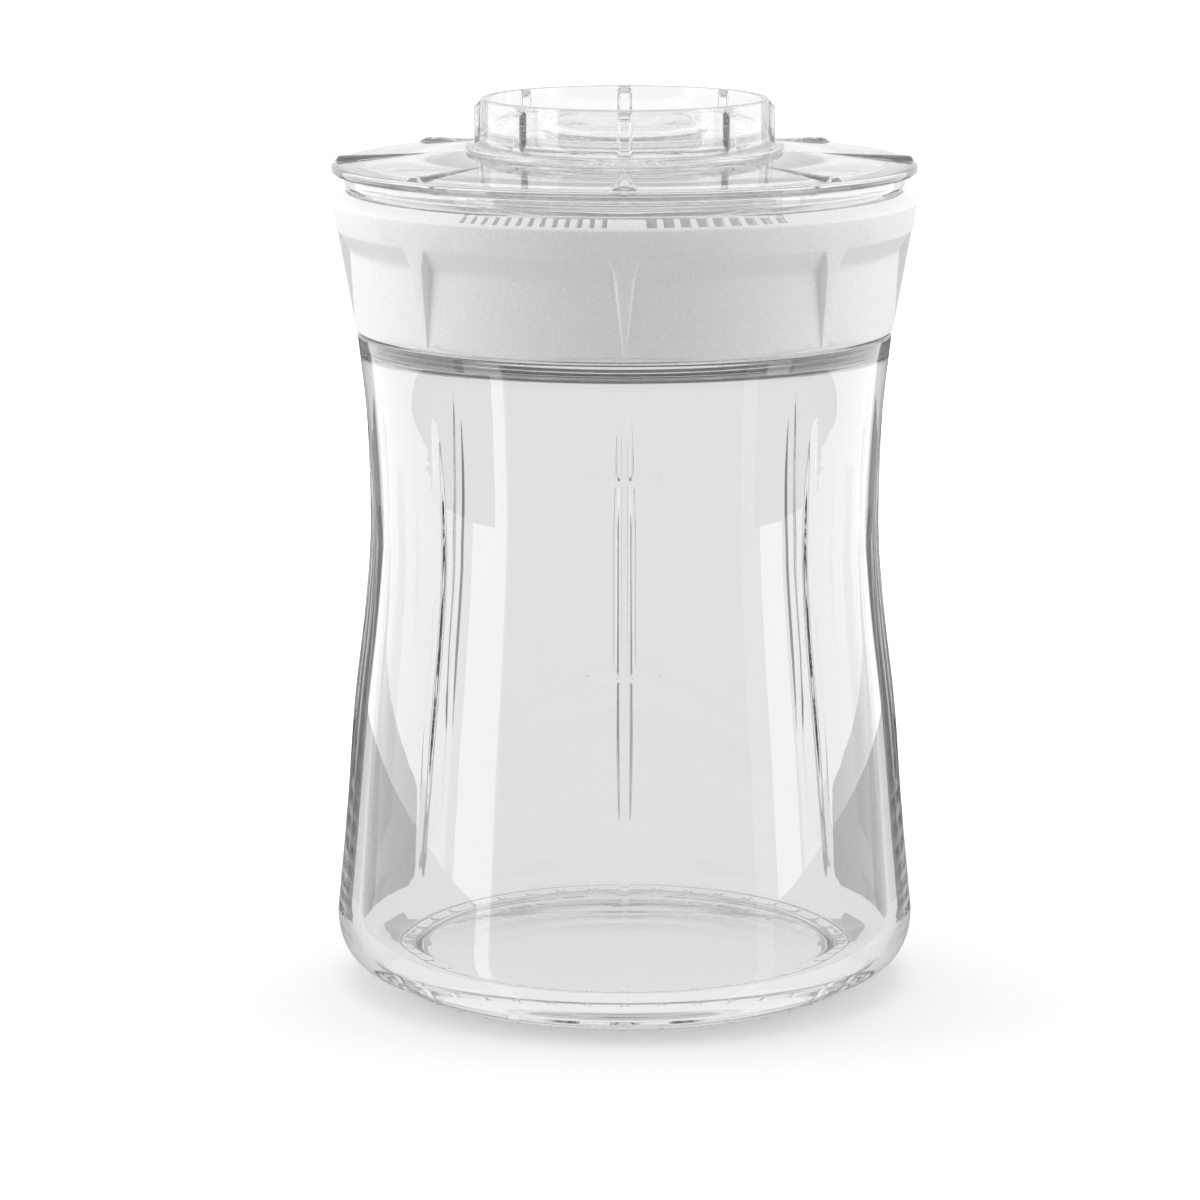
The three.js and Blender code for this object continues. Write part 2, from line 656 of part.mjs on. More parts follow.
function measuringCap() {
  const flareTop = capBottom + CAP_FLARE_RISE;
  const cap = turned([
    [0, capFloorBottom + DOME_RISE],
    ...swept([DOME_RADIUS / 2, capFloorBottom + DOME_RISE], [DOME_RADIUS, capFloorBottom + DOME_RISE],
      [DOME_RADIUS, capFloorBottom]),
    [plugInner, capFloorBottom],
    [plugInner, plugBottom],
    [plugRadius, plugBottom],
    [plugRadius, grooveBottom],
    [grooveRadius, grooveBottom],
    [grooveRadius, grooveTop],
    [plugRadius, grooveTop],
    [plugRadius, capBottom],
    [capFlangeRadius, capBottom],
    ...swept([capFlangeRadius, capBottom + CAP_FLANGE_EDGE], [CAP_RADIUS, capBottom + CAP_FLANGE_EDGE],
      [CAP_RADIUS, flareTop]),
    [CAP_RADIUS, capTop - CAP_RIM_ROUND],
    [CAP_RADIUS - CAP_RIM_ROUND, capTop],
    [capInner, capTop],
    [capInner, capFloorTop],
    ...swept([DOME_RADIUS + CAP_FLOOR, capFloorTop], [DOME_RADIUS + CAP_FLOOR, capFloorTop + DOME_RISE],
      [DOME_RADIUS / 2, capFloorTop + DOME_RISE]),
    [0, capFloorTop + DOME_RISE],
  ]);
  return joinedRound(cap, CAP_RIB_COUNT, capRib);
}

// Finishes
const clearGlass = new THREE.MeshStandardMaterial({
  color: '#e9eeec', roughness: 0.04, metalness: 0, transparent: true, opacity: 0.35,
});
const clearPlastic = new THREE.MeshStandardMaterial({
  color: '#f1f3f2', roughness: 0.08, metalness: 0, transparent: true, opacity: 0.4,
});
const whitePlastic = new THREE.MeshStandardMaterial({ color: '#f0f0ee', roughness: 0.55, metalness: 0 });
const silicone = new THREE.MeshStandardMaterial({
  color: '#eceae4', roughness: 0.5, metalness: 0, transparent: true, opacity: 0.7,
});

// Assembly, from the foot up
const neckSeal = ring(lipOuter + SIDE_GAP, NECK_RADIUS - SIDE_GAP, neckSealBottom, NECK_SEAL_THICKNESS);
const lidSeal = ring(spigotOuter + SEAL_GAP, skirtRadius - SEAL_GAP, lidSealBottom, LID_SEAL_THICKNESS);
const capSeal = ring(grooveRadius + SEAL_GAP, SOCKET_RADIUS - SIDE_GAP, grooveBottom + SEAL_GAP,
  CAP_SEAL_THICKNESS);

const kefirJar = new THREE.Group();
kefirJar.name = 'kefir_jar';
kefirJar.add(
  meshFrom('glass_jar', glassJar(), clearGlass),
  meshFrom('neck_seal', neckSeal, silicone),
  meshFrom('strainer_collar', strainerCollar(), whitePlastic),
  meshFrom('lid_seal', lidSeal, silicone),
  meshFrom('main_lid', mainLid(), clearPlastic),
  meshFrom('citrus_reamer', citrusReamer(), clearPlastic),
  meshFrom('cap_seal', capSeal, silicone),
  meshFrom('measuring_cap', measuringCap(), clearPlastic),
);

export default kefirJar;
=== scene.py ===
"""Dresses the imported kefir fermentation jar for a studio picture.

Sizes in the classes are millimetres and meshes are metres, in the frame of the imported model: +Z runs up the
jar's axis, the front faces -Y and the jar stands on z = 0. Angles are degrees from the front towards +X.
"""

import logging
import math
from bisect import bisect_left
from collections.abc import Callable, Iterable, Sequence
from dataclasses import dataclass
from enum import Enum

import bpy
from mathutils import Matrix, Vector


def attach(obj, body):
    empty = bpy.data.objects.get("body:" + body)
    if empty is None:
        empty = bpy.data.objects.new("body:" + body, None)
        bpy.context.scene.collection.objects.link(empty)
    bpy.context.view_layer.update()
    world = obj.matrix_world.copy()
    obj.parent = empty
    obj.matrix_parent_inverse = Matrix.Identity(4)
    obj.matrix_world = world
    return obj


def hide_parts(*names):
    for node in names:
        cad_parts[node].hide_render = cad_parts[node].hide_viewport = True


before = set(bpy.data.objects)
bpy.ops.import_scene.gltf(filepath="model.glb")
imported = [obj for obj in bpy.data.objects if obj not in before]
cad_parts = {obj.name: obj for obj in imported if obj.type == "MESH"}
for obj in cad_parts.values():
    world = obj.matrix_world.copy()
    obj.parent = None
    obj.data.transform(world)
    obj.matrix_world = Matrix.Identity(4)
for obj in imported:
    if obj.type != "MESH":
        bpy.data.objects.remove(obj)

LOG = logging.getLogger("kefir_jar")

MM = 0.001
FULL_TURN = 360.0
HALF_TURN = 180.0
QUARTER_TURN = 90.0
FILLET_STEPS = 4
CURVE_STEPS = 12
SHARP_ANGLE = 38.0
CARD_STEP = 3.0
LOSS_DEPTH = 10.0
WHITE = (1.0, 1.0, 1.0, 1.0)
BLACK = (0.0, 0.0, 0.0, 1.0)

Point = tuple[float, float]
Triple = tuple[float, float, float]
Outline = list[Point]
Relief = Callable[[float], Triple]
Piece = bpy.types.Object
Material = bpy.types.Material
Tree = bpy.types.NodeTree
Socket = bpy.types.NodeSocket


class Slot(Enum):
    """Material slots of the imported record."""

    GLASS = "jar_glass"
    CLEAR = "clear_plastic"
    COLLAR = "collar_plastic"
    SEAL = "seal_silicone"


# Shapes


@dataclass(frozen=True)
class Row:
    """One ring of a turned surface, with what stands proud of it.

    Attributes:
        radius: Radius of the plain ring in mm; 0 is a point on the axis.
        height: Height of the ring in mm.
        relief: Takes an angle in degrees and returns the turn in degrees, then the outward and the upward
            rise in mm.
    """

    radius: float
    height: float
    relief: Relief | None = None


def plain_rows(points: Iterable[Point]) -> list[Row]:
    """Rows without relief at the points of an outline."""
    return [Row(radius, height) for radius, height in points]


def polar(radius: float, angle: float, height: float) -> Triple:
    """Turns a radius, an angle in degrees from the front and a height, in mm, into a point in metres."""
    turn = math.radians(angle)
    return (radius * math.sin(turn) * MM, -radius * math.cos(turn) * MM, height * MM)


def blend_between(low: float, high: float, share: float) -> float:
    """Goes straight from the low value at share 0 to the high value at share 1."""
    return low + (high - low) * share


def smooth_step(share: float) -> float:
    """Goes smoothly from 0 to 1 as the share does, and stays there outside."""
    held = min(max(share, 0.0), 1.0)
    return held * held * (3.0 - 2.0 * held)


def soft_positive(value: float, softness: float) -> float:
    """Keeps a positive value and drops a negative one, with a soft corner at zero."""
    return 0.5 * (value + math.hypot(value, softness))


def along(knots: Sequence[Point], at: float) -> float:
    """Reads a broken line.

    Args:
        knots: Points of the line, as position and value, in rising position.
        at: Position to read.

    Returns:
        The value there, held at the ends.
    """
    places = [place for place, _ in knots]
    index = min(max(bisect_left(places, at), 1), len(knots) - 1)
    (low, low_value), (high, high_value) = knots[index - 1], knots[index]
    share = min(max((at - low) / (high - low), 0.0), 1.0)
    return blend_between(low_value, high_value, share)


def spaced(start: float, end: float, step: float) -> list[float]:
    """Places from start to end at equal steps of about the given size, both ends with them."""
    count = max(1, round(abs(end - start) / step))
    return [blend_between(start, end, index / count) for index in range(count + 1)]


def bent(start: Point, corner: Point, end: Point) -> Outline:
    """Points of a smooth bend from start to end, drawn towards a corner."""
    points = []
    for step in range(CURVE_STEPS + 1):
        share = step / CURVE_STEPS
        first = Vector(start).lerp(Vector(corner), share)
        second = Vector(corner).lerp(Vector(end), share)
        points.append(tuple(first.lerp(second, share)))
    return points


def filleted(corners: Sequence[Triple], ring: bool) -> Outline:
    """Rounds the corners of an outline.

    Args:
        corners: Radius, height and fillet of each corner in mm; a fillet of 0 leaves the corner as it is.
        ring: Whether the outline closes on itself.

    Returns:
        The points of the rounded outline.
    """
    points: Outline = []
    last = len(corners) - 1
    for index, (radius, height, fillet) in enumerate(corners):
        if fillet == 0.0 or (not ring and index in (0, last)):
            points.append((radius, height))
            continue
        corner = Vector((radius, height))
        before = Vector(corners[index - 1][:2])
        after = Vector(corners[(index + 1) % len(corners)][:2])
        start = corner + (before - corner).normalized() * fillet
        end = corner + (after - corner).normalized() * fillet
        for step in range(FILLET_STEPS + 1):
            share = step / FILLET_STEPS
            point = start.lerp(corner, share).lerp(corner.lerp(end, share), share)
            points.append((point.x, point.y))
    return points


def smooth_curve(points: Sequence[Point]) -> Outline:
    """Points of an even Catmull-Rom curve through the given points, with its end points doubled."""
    ends = [points[0], *points, points[-1]]
    curve: Outline = []
    for index in range(len(points) - 1):
        before, start, end, after = (Vector(point) for point in ends[index:index + 4])
        for step in range(CURVE_STEPS):
            share = step / CURVE_STEPS
            leave, arrive = (end - before) / 2, (after - start) / 2
            place = (
                start
                + leave * share
                + (3 * (end - start) - 2 * leave - arrive) * share**2
                + (2 * (start - end) + leave + arrive) * share**3
            )
            curve.append(tuple(place))
    curve.append(tuple(points[-1]))
    return curve


def angles_round(count: int, shares: Sequence[float]) -> list[float]:
    """Angles of the columns of a turned surface with equal features all round.

    Args:
        count: Number of features, the first at the front.
        shares: Places on each side of a feature, from 0 at its middle to 1 halfway to the next.

    Returns:
        The angles in degrees, in rising order.
    """
    half = FULL_TURN / count / 2
    both_sides = {side * share for share in shares for side in (-1, 1) if side * share > -1}
    return [half * (2 * index + share) for index in range(count) for share in sorted(both_sides)]


def from_feature(angle: float, count: int) -> float:
    """Degrees from the nearest of count equal features, the first at the front, to an angle."""
    pitch = FULL_TURN / count
    return (angle + pitch / 2) % pitch - pitch / 2


def linked_object(name: str, vertices: Sequence[Triple], faces: Iterable[Sequence[int]]) -> Piece:
    """Makes a mesh object in the scene from points in metres and faces."""
    mesh = bpy.data.meshes.new(name)
    mesh.from_pydata(vertices, [], list(faces))
    piece = bpy.data.objects.new(name, mesh)
    bpy.context.scene.collection.objects.link(piece)
    return piece


def turned(name: str, rows: Sequence[Row], angles: Sequence[float], ring: bool) -> Piece:
    """Builds a turned piece, with the relief of its rows.

    Args:
        name: Name of the object.
        rows: Rings of the surface, walked with the material on the left.
        angles: Angles of the columns in degrees.
        ring: Whether the last ring joins the first; otherwise both lie on the axis.

    Returns:
        The closed mesh object.
    """
    vertices: list[Triple] = []
    rings: list[list[int]] = []
    for row in rows:
        first = len(vertices)
        if row.radius == 0.0:
            vertices.append(polar(0.0, 0.0, row.height))
            rings.append([first] * len(angles))
            continue
        rings.append(list(range(first, first + len(angles))))
        for angle in angles:
            turn, out, up = row.relief(angle) if row.relief else (0.0, 0.0, 0.0)
            vertices.append(polar(row.radius + out, angle + turn, row.height + up))
    pairs = list(zip(rings, rings[1:]))
    if ring:
        pairs.append((rings[-1], rings[0]))
    faces = []
    for low, high in pairs:
        for column in range(len(angles)):
            following = (column + 1) % len(angles)
            corners = (low[column], low[following], high[following], high[column])
            faces.append(tuple(dict.fromkeys(corners)))
    return linked_object(name, vertices, faces)


def radial_boxes(
    boxes: Sequence[Point], inner: float, outer: float, low: float, high: float,
) -> Piece:
    """Builds upright boxes that point outwards, as one cutter.

    Args:
        boxes: Angle in degrees and width in mm of each box.
        inner: Radius of the inner ends in mm.
        outer: Radius of the outer ends in mm.
        low: Height of the bottoms in mm.
        high: Height of the tops in mm.

    Returns:
        The cutter.
    """
    vertices, faces = [], []
    for angle, width in boxes:
        first = len(vertices)
        turn = math.radians(angle)
        for height in (low, high):
            for side, radius in ((-1, inner), (1, inner), (1, outer), (-1, outer)):
                across, forth = side * width / 2, -radius
                vertices.append((
                    (across * math.cos(turn) - forth * math.sin(turn)) * MM,
                    (across * math.sin(turn) + forth * math.cos(turn)) * MM,
                    height * MM,
                ))
        box = ((0, 1, 2, 3), (7, 6, 5, 4), (0, 4, 5, 1), (1, 5, 6, 2), (2, 6, 7, 3), (3, 7, 4, 0))
        faces.extend(tuple(first + corner for corner in face) for face in box)
    return linked_object("cutter", vertices, faces)


def cut(piece: Piece, cutter: Piece) -> None:
    """Cuts a closed mesh out of a piece and removes the cutter."""
    modifier = piece.modifiers.new("cut", "BOOLEAN")
    modifier.operation = "DIFFERENCE"
    modifier.solver = "EXACT"
    modifier.object = cutter
    graph = bpy.context.evaluated_depsgraph_get()
    mesh = bpy.data.meshes.new_from_object(piece.evaluated_get(graph))
    piece.modifiers.clear()
    whole = piece.data
    piece.data = mesh
    bpy.data.meshes.remove(whole)
    bpy.data.objects.remove(cutter)


def dress(piece: Piece, node: str, material: Material) -> None:
    """Shades a finished piece, gives it its material and puts it in the place of a CAD node.

    Args:
        piece: The finished piece.
        node: CAD node that it stands for, whose body has the same name.
        material: Finish of the piece.
    """
    mesh = piece.data
    mesh.polygons.foreach_set("use_smooth", [True] * len(mesh.polygons))
    mesh.set_sharp_from_angle(angle=math.radians(SHARP_ANGLE))
    mesh.materials.clear()
    mesh.materials.append(material)
    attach(piece, node)
    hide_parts(node)
    LOG.info("%s: %d faces, %s", piece.name, len(mesh.polygons), material.name)


# Finishes


def linear_colour(code: str) -> tuple[float, float, float, float]:
    """Turns an sRGB hex code into a linear colour with full alpha."""
    channels = [int(code[index:index + 2], 16) / 255 for index in (1, 3, 5)]
    return (*(c / 12.92 if c <= 0.04045 else ((c + 0.055) / 1.055) ** 2.4 for c in channels), 1.0)


def add_node(
    tree: Tree, kind: str, inputs: dict[str, object], **settings: object,
) -> bpy.types.Node:
    """Adds a node to a tree.

    Args:
        tree: Tree that gets the node.
        kind: Blender's name of the node type.
        inputs: Values and links of the node's inputs by socket name; an output socket is linked.
        settings: Values of the node's own properties.

    Returns:
        The new node.
    """
    node = tree.nodes.new(kind)
    for name, value in settings.items():
        setattr(node, name, value)
    for name, value in inputs.items():
        if isinstance(value, Socket):
            tree.links.new(value, node.inputs[name])
        else:
            node.inputs[name].default_value = value
    return node


def empty_material(name: str) -> Material:
    """Makes a material with an empty node tree."""
    material = bpy.data.materials.new(name)
    material.use_nodes = True
    material.node_tree.nodes.clear()
    return material


def grain(tree: Tree, size: float, detail: float) -> Socket:
    """Adds an even noise whose spots are a size in mm, and gives its strength."""
    place = add_node(tree, "ShaderNodeTexCoord", {})
    noise = add_node(
        tree,
        "ShaderNodeTexNoise",
        {"Vector": place.outputs["Object"], "Scale": 1.0 / (size * MM), "Detail": detail},
    )
    return noise.outputs["Fac"]


def bumped(tree: Tree, height: Socket, depth: float, strength: float) -> Socket:
    """Adds a bump of a depth in mm from a height pattern, and gives its normal."""
    bump = add_node(
        tree,
        "ShaderNodeBump",
        {"Height": height, "Distance": depth * MM, "Strength": strength},
    )
    return bump.outputs["Normal"]


def ranged(tree: Tree, value: Socket, low: float, high: float) -> Socket:
    """Maps a pattern from its middle half to a range, and gives the result."""
    mapped = add_node(
        tree,
        "ShaderNodeMapRange",
        {"Value": value, "From Min": 0.25, "From Max": 0.75, "To Min": low, "To Max": high},
    )
    return mapped.outputs["Result"]


def mixed(tree: Tree, share: Socket, low: str, high: str) -> Socket:
    """Adds a colour that goes between two sRGB hex codes with a share, and gives it."""
    mix = add_node(tree, "ShaderNodeMix", {"Factor": share}, data_type="RGBA")
    ends = [socket for socket in mix.inputs if socket.type == "RGBA"]
    for end, code in zip(ends, (low, high)):
        end.default_value = linear_colour(code)
    return next(socket for socket in mix.outputs if socket.type == "RGBA")


def painted_edge_shade(tree: Tree, stops: Sequence[tuple[float, str]]) -> Socket:
    """Adds painted edge shade to a clear wall, a colour set by the slant at which the wall is seen, and gives
    that colour.

    Args:
        tree: Tree that gets the nodes.
        stops: Slant, from 0 straight on to 1 along the face, and the painted colour there as an sRGB hex
            code.

    Returns:
        The colour.
    """
    # Painted edge shade: the ramp sets the wall's colour by the slant at which it is seen.
    slant = add_node(tree, "ShaderNodeLayerWeight", {"Blend": 0.5})
    ramp = add_node(tree, "ShaderNodeValToRGB", {"Fac": slant.outputs["Facing"]})
    elements = ramp.color_ramp.elements
    while len(elements) < len(stops):
        elements.new(0.5)
    for element, (place, code) in zip(elements, stops):
        element.position = place
        element.color = linear_colour(code)
    return ramp.outputs["Color"]


def close_material(
    tree: Tree, inputs: dict[str, object], loss: float = 0.0, shade: str | None = None,
) -> None:
    """Adds the Principled shader and the output.

    Args:
        tree: Tree that gets the nodes.
        inputs: Values and links of the shader's inputs.
        loss: Share of the light that a clear material takes out of 10 mm of its depth, or 0 for none.
        shade: Colour of lamp light behind one face of a clear material, as an sRGB hex code, or None for full
            shadow.
    """
    shader = add_node(tree, "ShaderNodeBsdfPrincipled", inputs)
    output = add_node(tree, "ShaderNodeOutputMaterial", {"Surface": shader.outputs["BSDF"]})
    if loss > 0.0:
        density = -math.log(1.0 - loss) / (LOSS_DEPTH * MM)
        depth = add_node(tree, "ShaderNodeVolumeAbsorption", {"Color": BLACK, "Density": density})
        tree.links.new(depth.outputs["Volume"], output.inputs["Volume"])
    if shade is not None:
        through = add_node(tree, "ShaderNodeBsdfTransparent", {"Color": linear_colour(shade)})
        path = add_node(tree, "ShaderNodeLightPath", {})
        either = add_node(tree, "ShaderNodeMixShader", {"Fac": path.outputs["Is Shadow Ray"]})
        tree.links.new(shader.outputs["BSDF"], either.inputs[1])
        tree.links.new(through.outputs["BSDF"], either.inputs[2])
        tree.links.new(either.outputs["Shader"], output.inputs["Surface"])


@dataclass(frozen=True)
class ClearFinish:
    """Clear material with polished faces that wave softly.

    Attributes:
        name: Name of the material.
        painted_slant_shades: Painted edge shade, the wall's colour at each slant at which it is seen.
        refraction: Index of refraction.
        loss: Share of the light that 10 mm of it take.
        shade: Colour of the lamp light that one face lets through, or None for full shadow.
        wave: Size of the waves in mm.
        wave_detail: Number of finer waves on them.
        wave_depth: Depth of the waves in mm.
        haze: Greatest roughness.
        wave_strength: Strength of the waves' bump.
    """

    name: str
    painted_slant_shades: Sequence[tuple[float, str]]
    refraction: float
    loss: float
    shade: str | None
    wave: float
    wave_detail: float
    wave_depth: float
    haze: float
    wave_strength: float = 0.3

    def material(self) -> Material:
        """Makes the material."""
        material = empty_material(self.name)
        tree = material.node_tree
        waves = grain(tree, self.wave, self.wave_detail)
        close_material(tree, {
            # Base colour is painted edge shade, set by the slant of view.
            "Base Color": painted_edge_shade(tree, self.painted_slant_shades),
            "Roughness": ranged(tree, waves, 0.0, self.haze),
            "IOR": self.refraction,
            "Transmission Weight": 1.0,
            "Normal": bumped(tree, waves, self.wave_depth, self.wave_strength),
        }, self.loss, self.shade)
        return material


@dataclass(frozen=True)
class PressedGlass(ClearFinish):
    """Clear soda-lime glass, pressed and fire polished.

    Its smooth face waves softly where the mould chilled it.
    """

    name: str = "pressed_soda_lime_glass"
    # Painted edge shade: darker where the wall is seen at a slant, paler again at the outline.
    painted_slant_shades: Sequence[tuple[float, str]] = (
        (0.0, "#f2f2f1"), (0.6, "#f2f2f1"), (0.8, "#eeeeee"), (0.95, "#f6f6f5"),
    )
    refraction: float = 1.52
    loss: float = 0.03
    shade: str | None = None
    wave: float = 22.0
    wave_detail: float = 1.0
    wave_depth: float = 0.05
    haze: float = 0.012


@dataclass(frozen=True)
class ClearCopolyester(ClearFinish):
    """Clear moulded copolyester with polished faces: lighter painted edge shade than the glass, and faint
    flow marks.
    """

    name: str = "polished_clear_copolyester"
    # Painted edge shade: slightly darker where the wall is seen at a grazing slant.
    painted_slant_shades: Sequence[tuple[float, str]] = ((0.0, "#fefefe"), (0.7, "#fefefe"), (0.95, "#fcfcfc"))
    refraction: float = 1.56
    loss: float = 0.08
    shade: str | None = "#f8f8f8"
    wave: float = 24.0
    wave_detail: float = 2.0
    wave_depth: float = 0.001
    haze: float = 0.01


@dataclass(frozen=True)
class MouldedPolypropylene:
    """White polypropylene from a spark-eroded mould: a fine even speckle that breaks up the gloss."""

    colour: str = "#f3f3f1"
    speckle_colour: str = "#e6e6e4"
    speckle: float = 0.45
    speckle_detail: float = 3.0
    speckle_depth: float = 0.03
    speckle_strength: float = 0.5
    gloss_patch: float = 9.0
    patch_detail: float = 2.0
    roughness: Point = (0.48, 0.58)
    refraction: float = 1.49
    light_inside: float = 0.4
    depth_of_light: float = 1.5

    def material(self) -> Material:
        """Makes the material."""
        material = empty_material("spark_eroded_white_polypropylene")
        tree = material.node_tree
        speckle = grain(tree, self.speckle, self.speckle_detail)
        patches = grain(tree, self.gloss_patch, self.patch_detail)
        close_material(tree, {
            "Base Color": mixed(tree, ranged(tree, speckle, 0.0, 1.0), self.speckle_colour, self.colour),
            "Roughness": ranged(tree, patches, *self.roughness),
            "IOR": self.refraction,
            "Subsurface Weight": self.light_inside,
            "Subsurface Radius": (1.0, 1.0, 1.0),
            "Subsurface Scale": self.depth_of_light * MM,
            "Normal": bumped(tree, speckle, self.speckle_depth, self.speckle_strength),
        })
        return material


@dataclass(frozen=True)
class MouldedSilicone:
    """Translucent moulded silicone: a milky ring with a dull skin that holds a little dust."""

    colour: str = "#eceae4"
    dust_colour: str = "#dedbd3"
    dust: float = 1.2
    dust_detail: float = 3.0
    dust_depth: float = 0.01
    dust_strength: float = 0.3
    roughness: Point = (0.4, 0.55)
    refraction: float = 1.41
    clearness: float = 0.35

    def material(self) -> Material:
        """Makes the material."""
        material = empty_material("moulded_translucent_silicone")
        tree = material.node_tree
        dust = grain(tree, self.dust, self.dust_detail)
        close_material(tree, {
            "Base Color": mixed(tree, ranged(tree, dust, 0.0, 1.0), self.dust_colour, self.colour),
            "Roughness": ranged(tree, dust, *self.roughness),
            "IOR": self.refraction,
            "Transmission Weight": self.clearness,
            "Normal": bumped(tree, dust, self.dust_depth, self.dust_strength),
        })
        return material


# Pieces


@dataclass
class Thread:
    """Lugs of the multi-start thread between the neck and the collar."""

    starts: int = 4
    lead: float = 20.0
    lug_sweep: float = 56.0
    lug_depth: float = 1.4
    lug_root: float = 2.4
    lug_crest: float = 1.4
    lug_end: float = 4.0
    clearance: float = 0.4

    def rise(self, middle: float, height: float, angle: float) -> float:
        """How far a lug stands proud at a height and an angle, where the lugs' middle has a given height."""
        offset = from_feature(angle, self.starts)
        end = smooth_step((self.lug_sweep / 2 - abs(offset)) / self.lug_end)
        away = abs(height - middle - self.lead * offset / FULL_TURN)
        flank = (self.lug_root / 2 - away) / (self.lug_root / 2 - self.lug_crest / 2)
        return self.lug_depth * end * min(max(flank, 0.0), 1.0)


@dataclass
class GlassJar:
    """Waisted glass jar with low ribs, two level marks, a heavy base on studs and a threaded neck."""

    thread: Thread
    foot_radius: float = 46.4
    foot_width: float = 3.6
    foot_step: float = 2.5
    foot_round: float = 0.5
    heel_step: float = 0.8
    heel_fullness: float = 0.9
    punt_rise: float = 2.0
    punt_round: float = 0.8
    stud_count: int = 40
    stud_height: float = 0.6
    stud_half_width: float = 0.7
    stud_half_length: float = 1.3
    body: Sequence[Point] = (
        (57.5, 14.0), (55.9, 30.3), (53.6, 53.7), (50.9, 76.2), (49.8, 93.0), (50.75, 112.5), (52.6, 130.0),
    )
    shoulder_height: float = 130.7
    shoulder_round: float = 0.7
    foot_wall: float = 4.2
    waist_wall: float = 2.2
    top_wall: float = 2.8
    floor_thickness: float = 4.6
    floor_radius: float = 42.6
    floor_sweep: float = 8.0
    neck_radius: float = 48.8
    neck_wall: float = 3.8
    neck_height: float = 17.7
    neck_fillet: float = 1.0
    rim_round: float = 1.1
    shoulder_wall: float = 2.5
    shoulder_sweep: float = 2.6
    thread_height: float = 10.9
    rib_count: int = 8
    rib_foot: float = 32.0
    rib_height: float = 87.0
    rib_foot_fade: float = 30.0
    rib_top_fade: float = 24.0
    rib_proud: float = 0.62
    rib_crest_half: float = 0.9
    rib_slope: float = 0.85
    rib_softness: float = 0.1
    rib_tail: float = 3.0
    mark_heights: Sequence[float] = (70.9, 108.6)
    mark_half_length: float = 6.15
    mark_half_height: float = 0.95
    mark_rise: float = 0.45
    mark_rows: Sequence[float] = (0.0, 0.2, 0.45, 0.7, 1.0, 1.4)
    mark_clear: float = 1.5
    stud_row_step: float = 0.26
    row_step: float = 2.6
    neck_row_step: float = 0.6
    column_shares: Sequence[float] = (0.0, 0.1, 0.2, 0.36, 0.52, 0.68, 0.84, 1.0)
    rib_columns: float = 2.2
    mark_columns: float = 8.0
    column_step: float = 0.25

    def __post_init__(self) -> None:
        """Works out the body's outline."""
        self.outline = [(height, radius) for radius, height in smooth_curve(self.body)]

    @property
    def mouth_radius(self) -> float:
        """Radius of the mouth."""
        return self.neck_radius - self.neck_wall

    @property
    def neck_top(self) -> float:
        """Height of the rim."""
        return self.shoulder_height + self.neck_height

    def body_radius(self, height: float) -> float:
        """Outside radius of the plain body at a height."""
        return along(self.outline, height)

    def inner_radius(self, height: float) -> float:
        """Inside radius of the body at a height, where the wall is thinnest at the waist."""
        waist = min(self.body)[1]
        foot, top = self.body[0][1], self.body[-1][1]
        knots = [(foot, self.foot_wall), (waist, self.waist_wall), (top, self.top_wall)]
        return self.body_radius(height) - along(knots, height)

    def soft_block(self, proud: float, outside: float) -> float:
        """Rise of a flat-topped form with sloping sides.

        Args:
            proud: Rise of the flat top.
            outside: Distance outside the flat top's edge, less than 0 on the top.

        Returns:
            The rise there, with softened corners, less the rise left where the softened slope has died out.
        """
        if proud <= 0.0:
            return 0.0
        fall = self.rib_slope * soft_positive(outside, self.rib_softness)
        level = soft_positive(proud - fall, self.rib_softness)
        tail = soft_positive(-self.rib_slope * self.rib_tail, self.rib_softness)
        return max(0.0, level - tail)

    def body_relief(self, height: float, radius: float) -> Relief:
        """Low ribs and level marks at a height of the body."""
        grown = smooth_step((height - self.rib_foot) / self.rib_foot_fade)
        left = smooth_step((self.rib_foot + self.rib_height - height) / self.rib_top_fade)
        proud = self.rib_proud * grown * left
        off_mark = min(abs(height - level) for level in self.mark_heights)

        def relief(angle: float) -> Triple:
            """Outward rise of the glass at an angle."""
            across = math.radians(abs(from_feature(angle, self.rib_count))) * radius
            rise = self.soft_block(proud, across - self.rib_crest_half)
            side = math.radians(abs(from_feature(angle, 1))) * radius
            past_end = math.hypot(max(0.0, side - self.mark_half_length), off_mark) - self.mark_half_height
            rise = max(rise, self.soft_block(self.mark_rise, past_end + self.mark_rise / self.rib_slope))
            return 0.0, rise, 0.0

        return relief

    def stud_relief(self, radius: float) -> Relief:
        """Studs under the foot ring at a radius."""
        middle = self.foot_radius - self.foot_width / 2
        out = (radius - middle) / self.stud_half_length

        def relief(angle: float) -> Triple:
            """Downward rise of the foot at an angle."""
            side = math.radians(from_feature(angle, self.stud_count)) * radius / self.stud_half_width
            return 0.0, 0.0, -self.stud_height * math.sqrt(max(0.0, 1 - side**2 - out**2))

        return relief

    def neck_relief(self, height: float) -> Relief:
        """Thread lugs at a height of the neck."""
        middle = self.shoulder_height + self.thread_height
        return lambda angle: (0.0, self.thread.rise(middle, height, angle), 0.0)

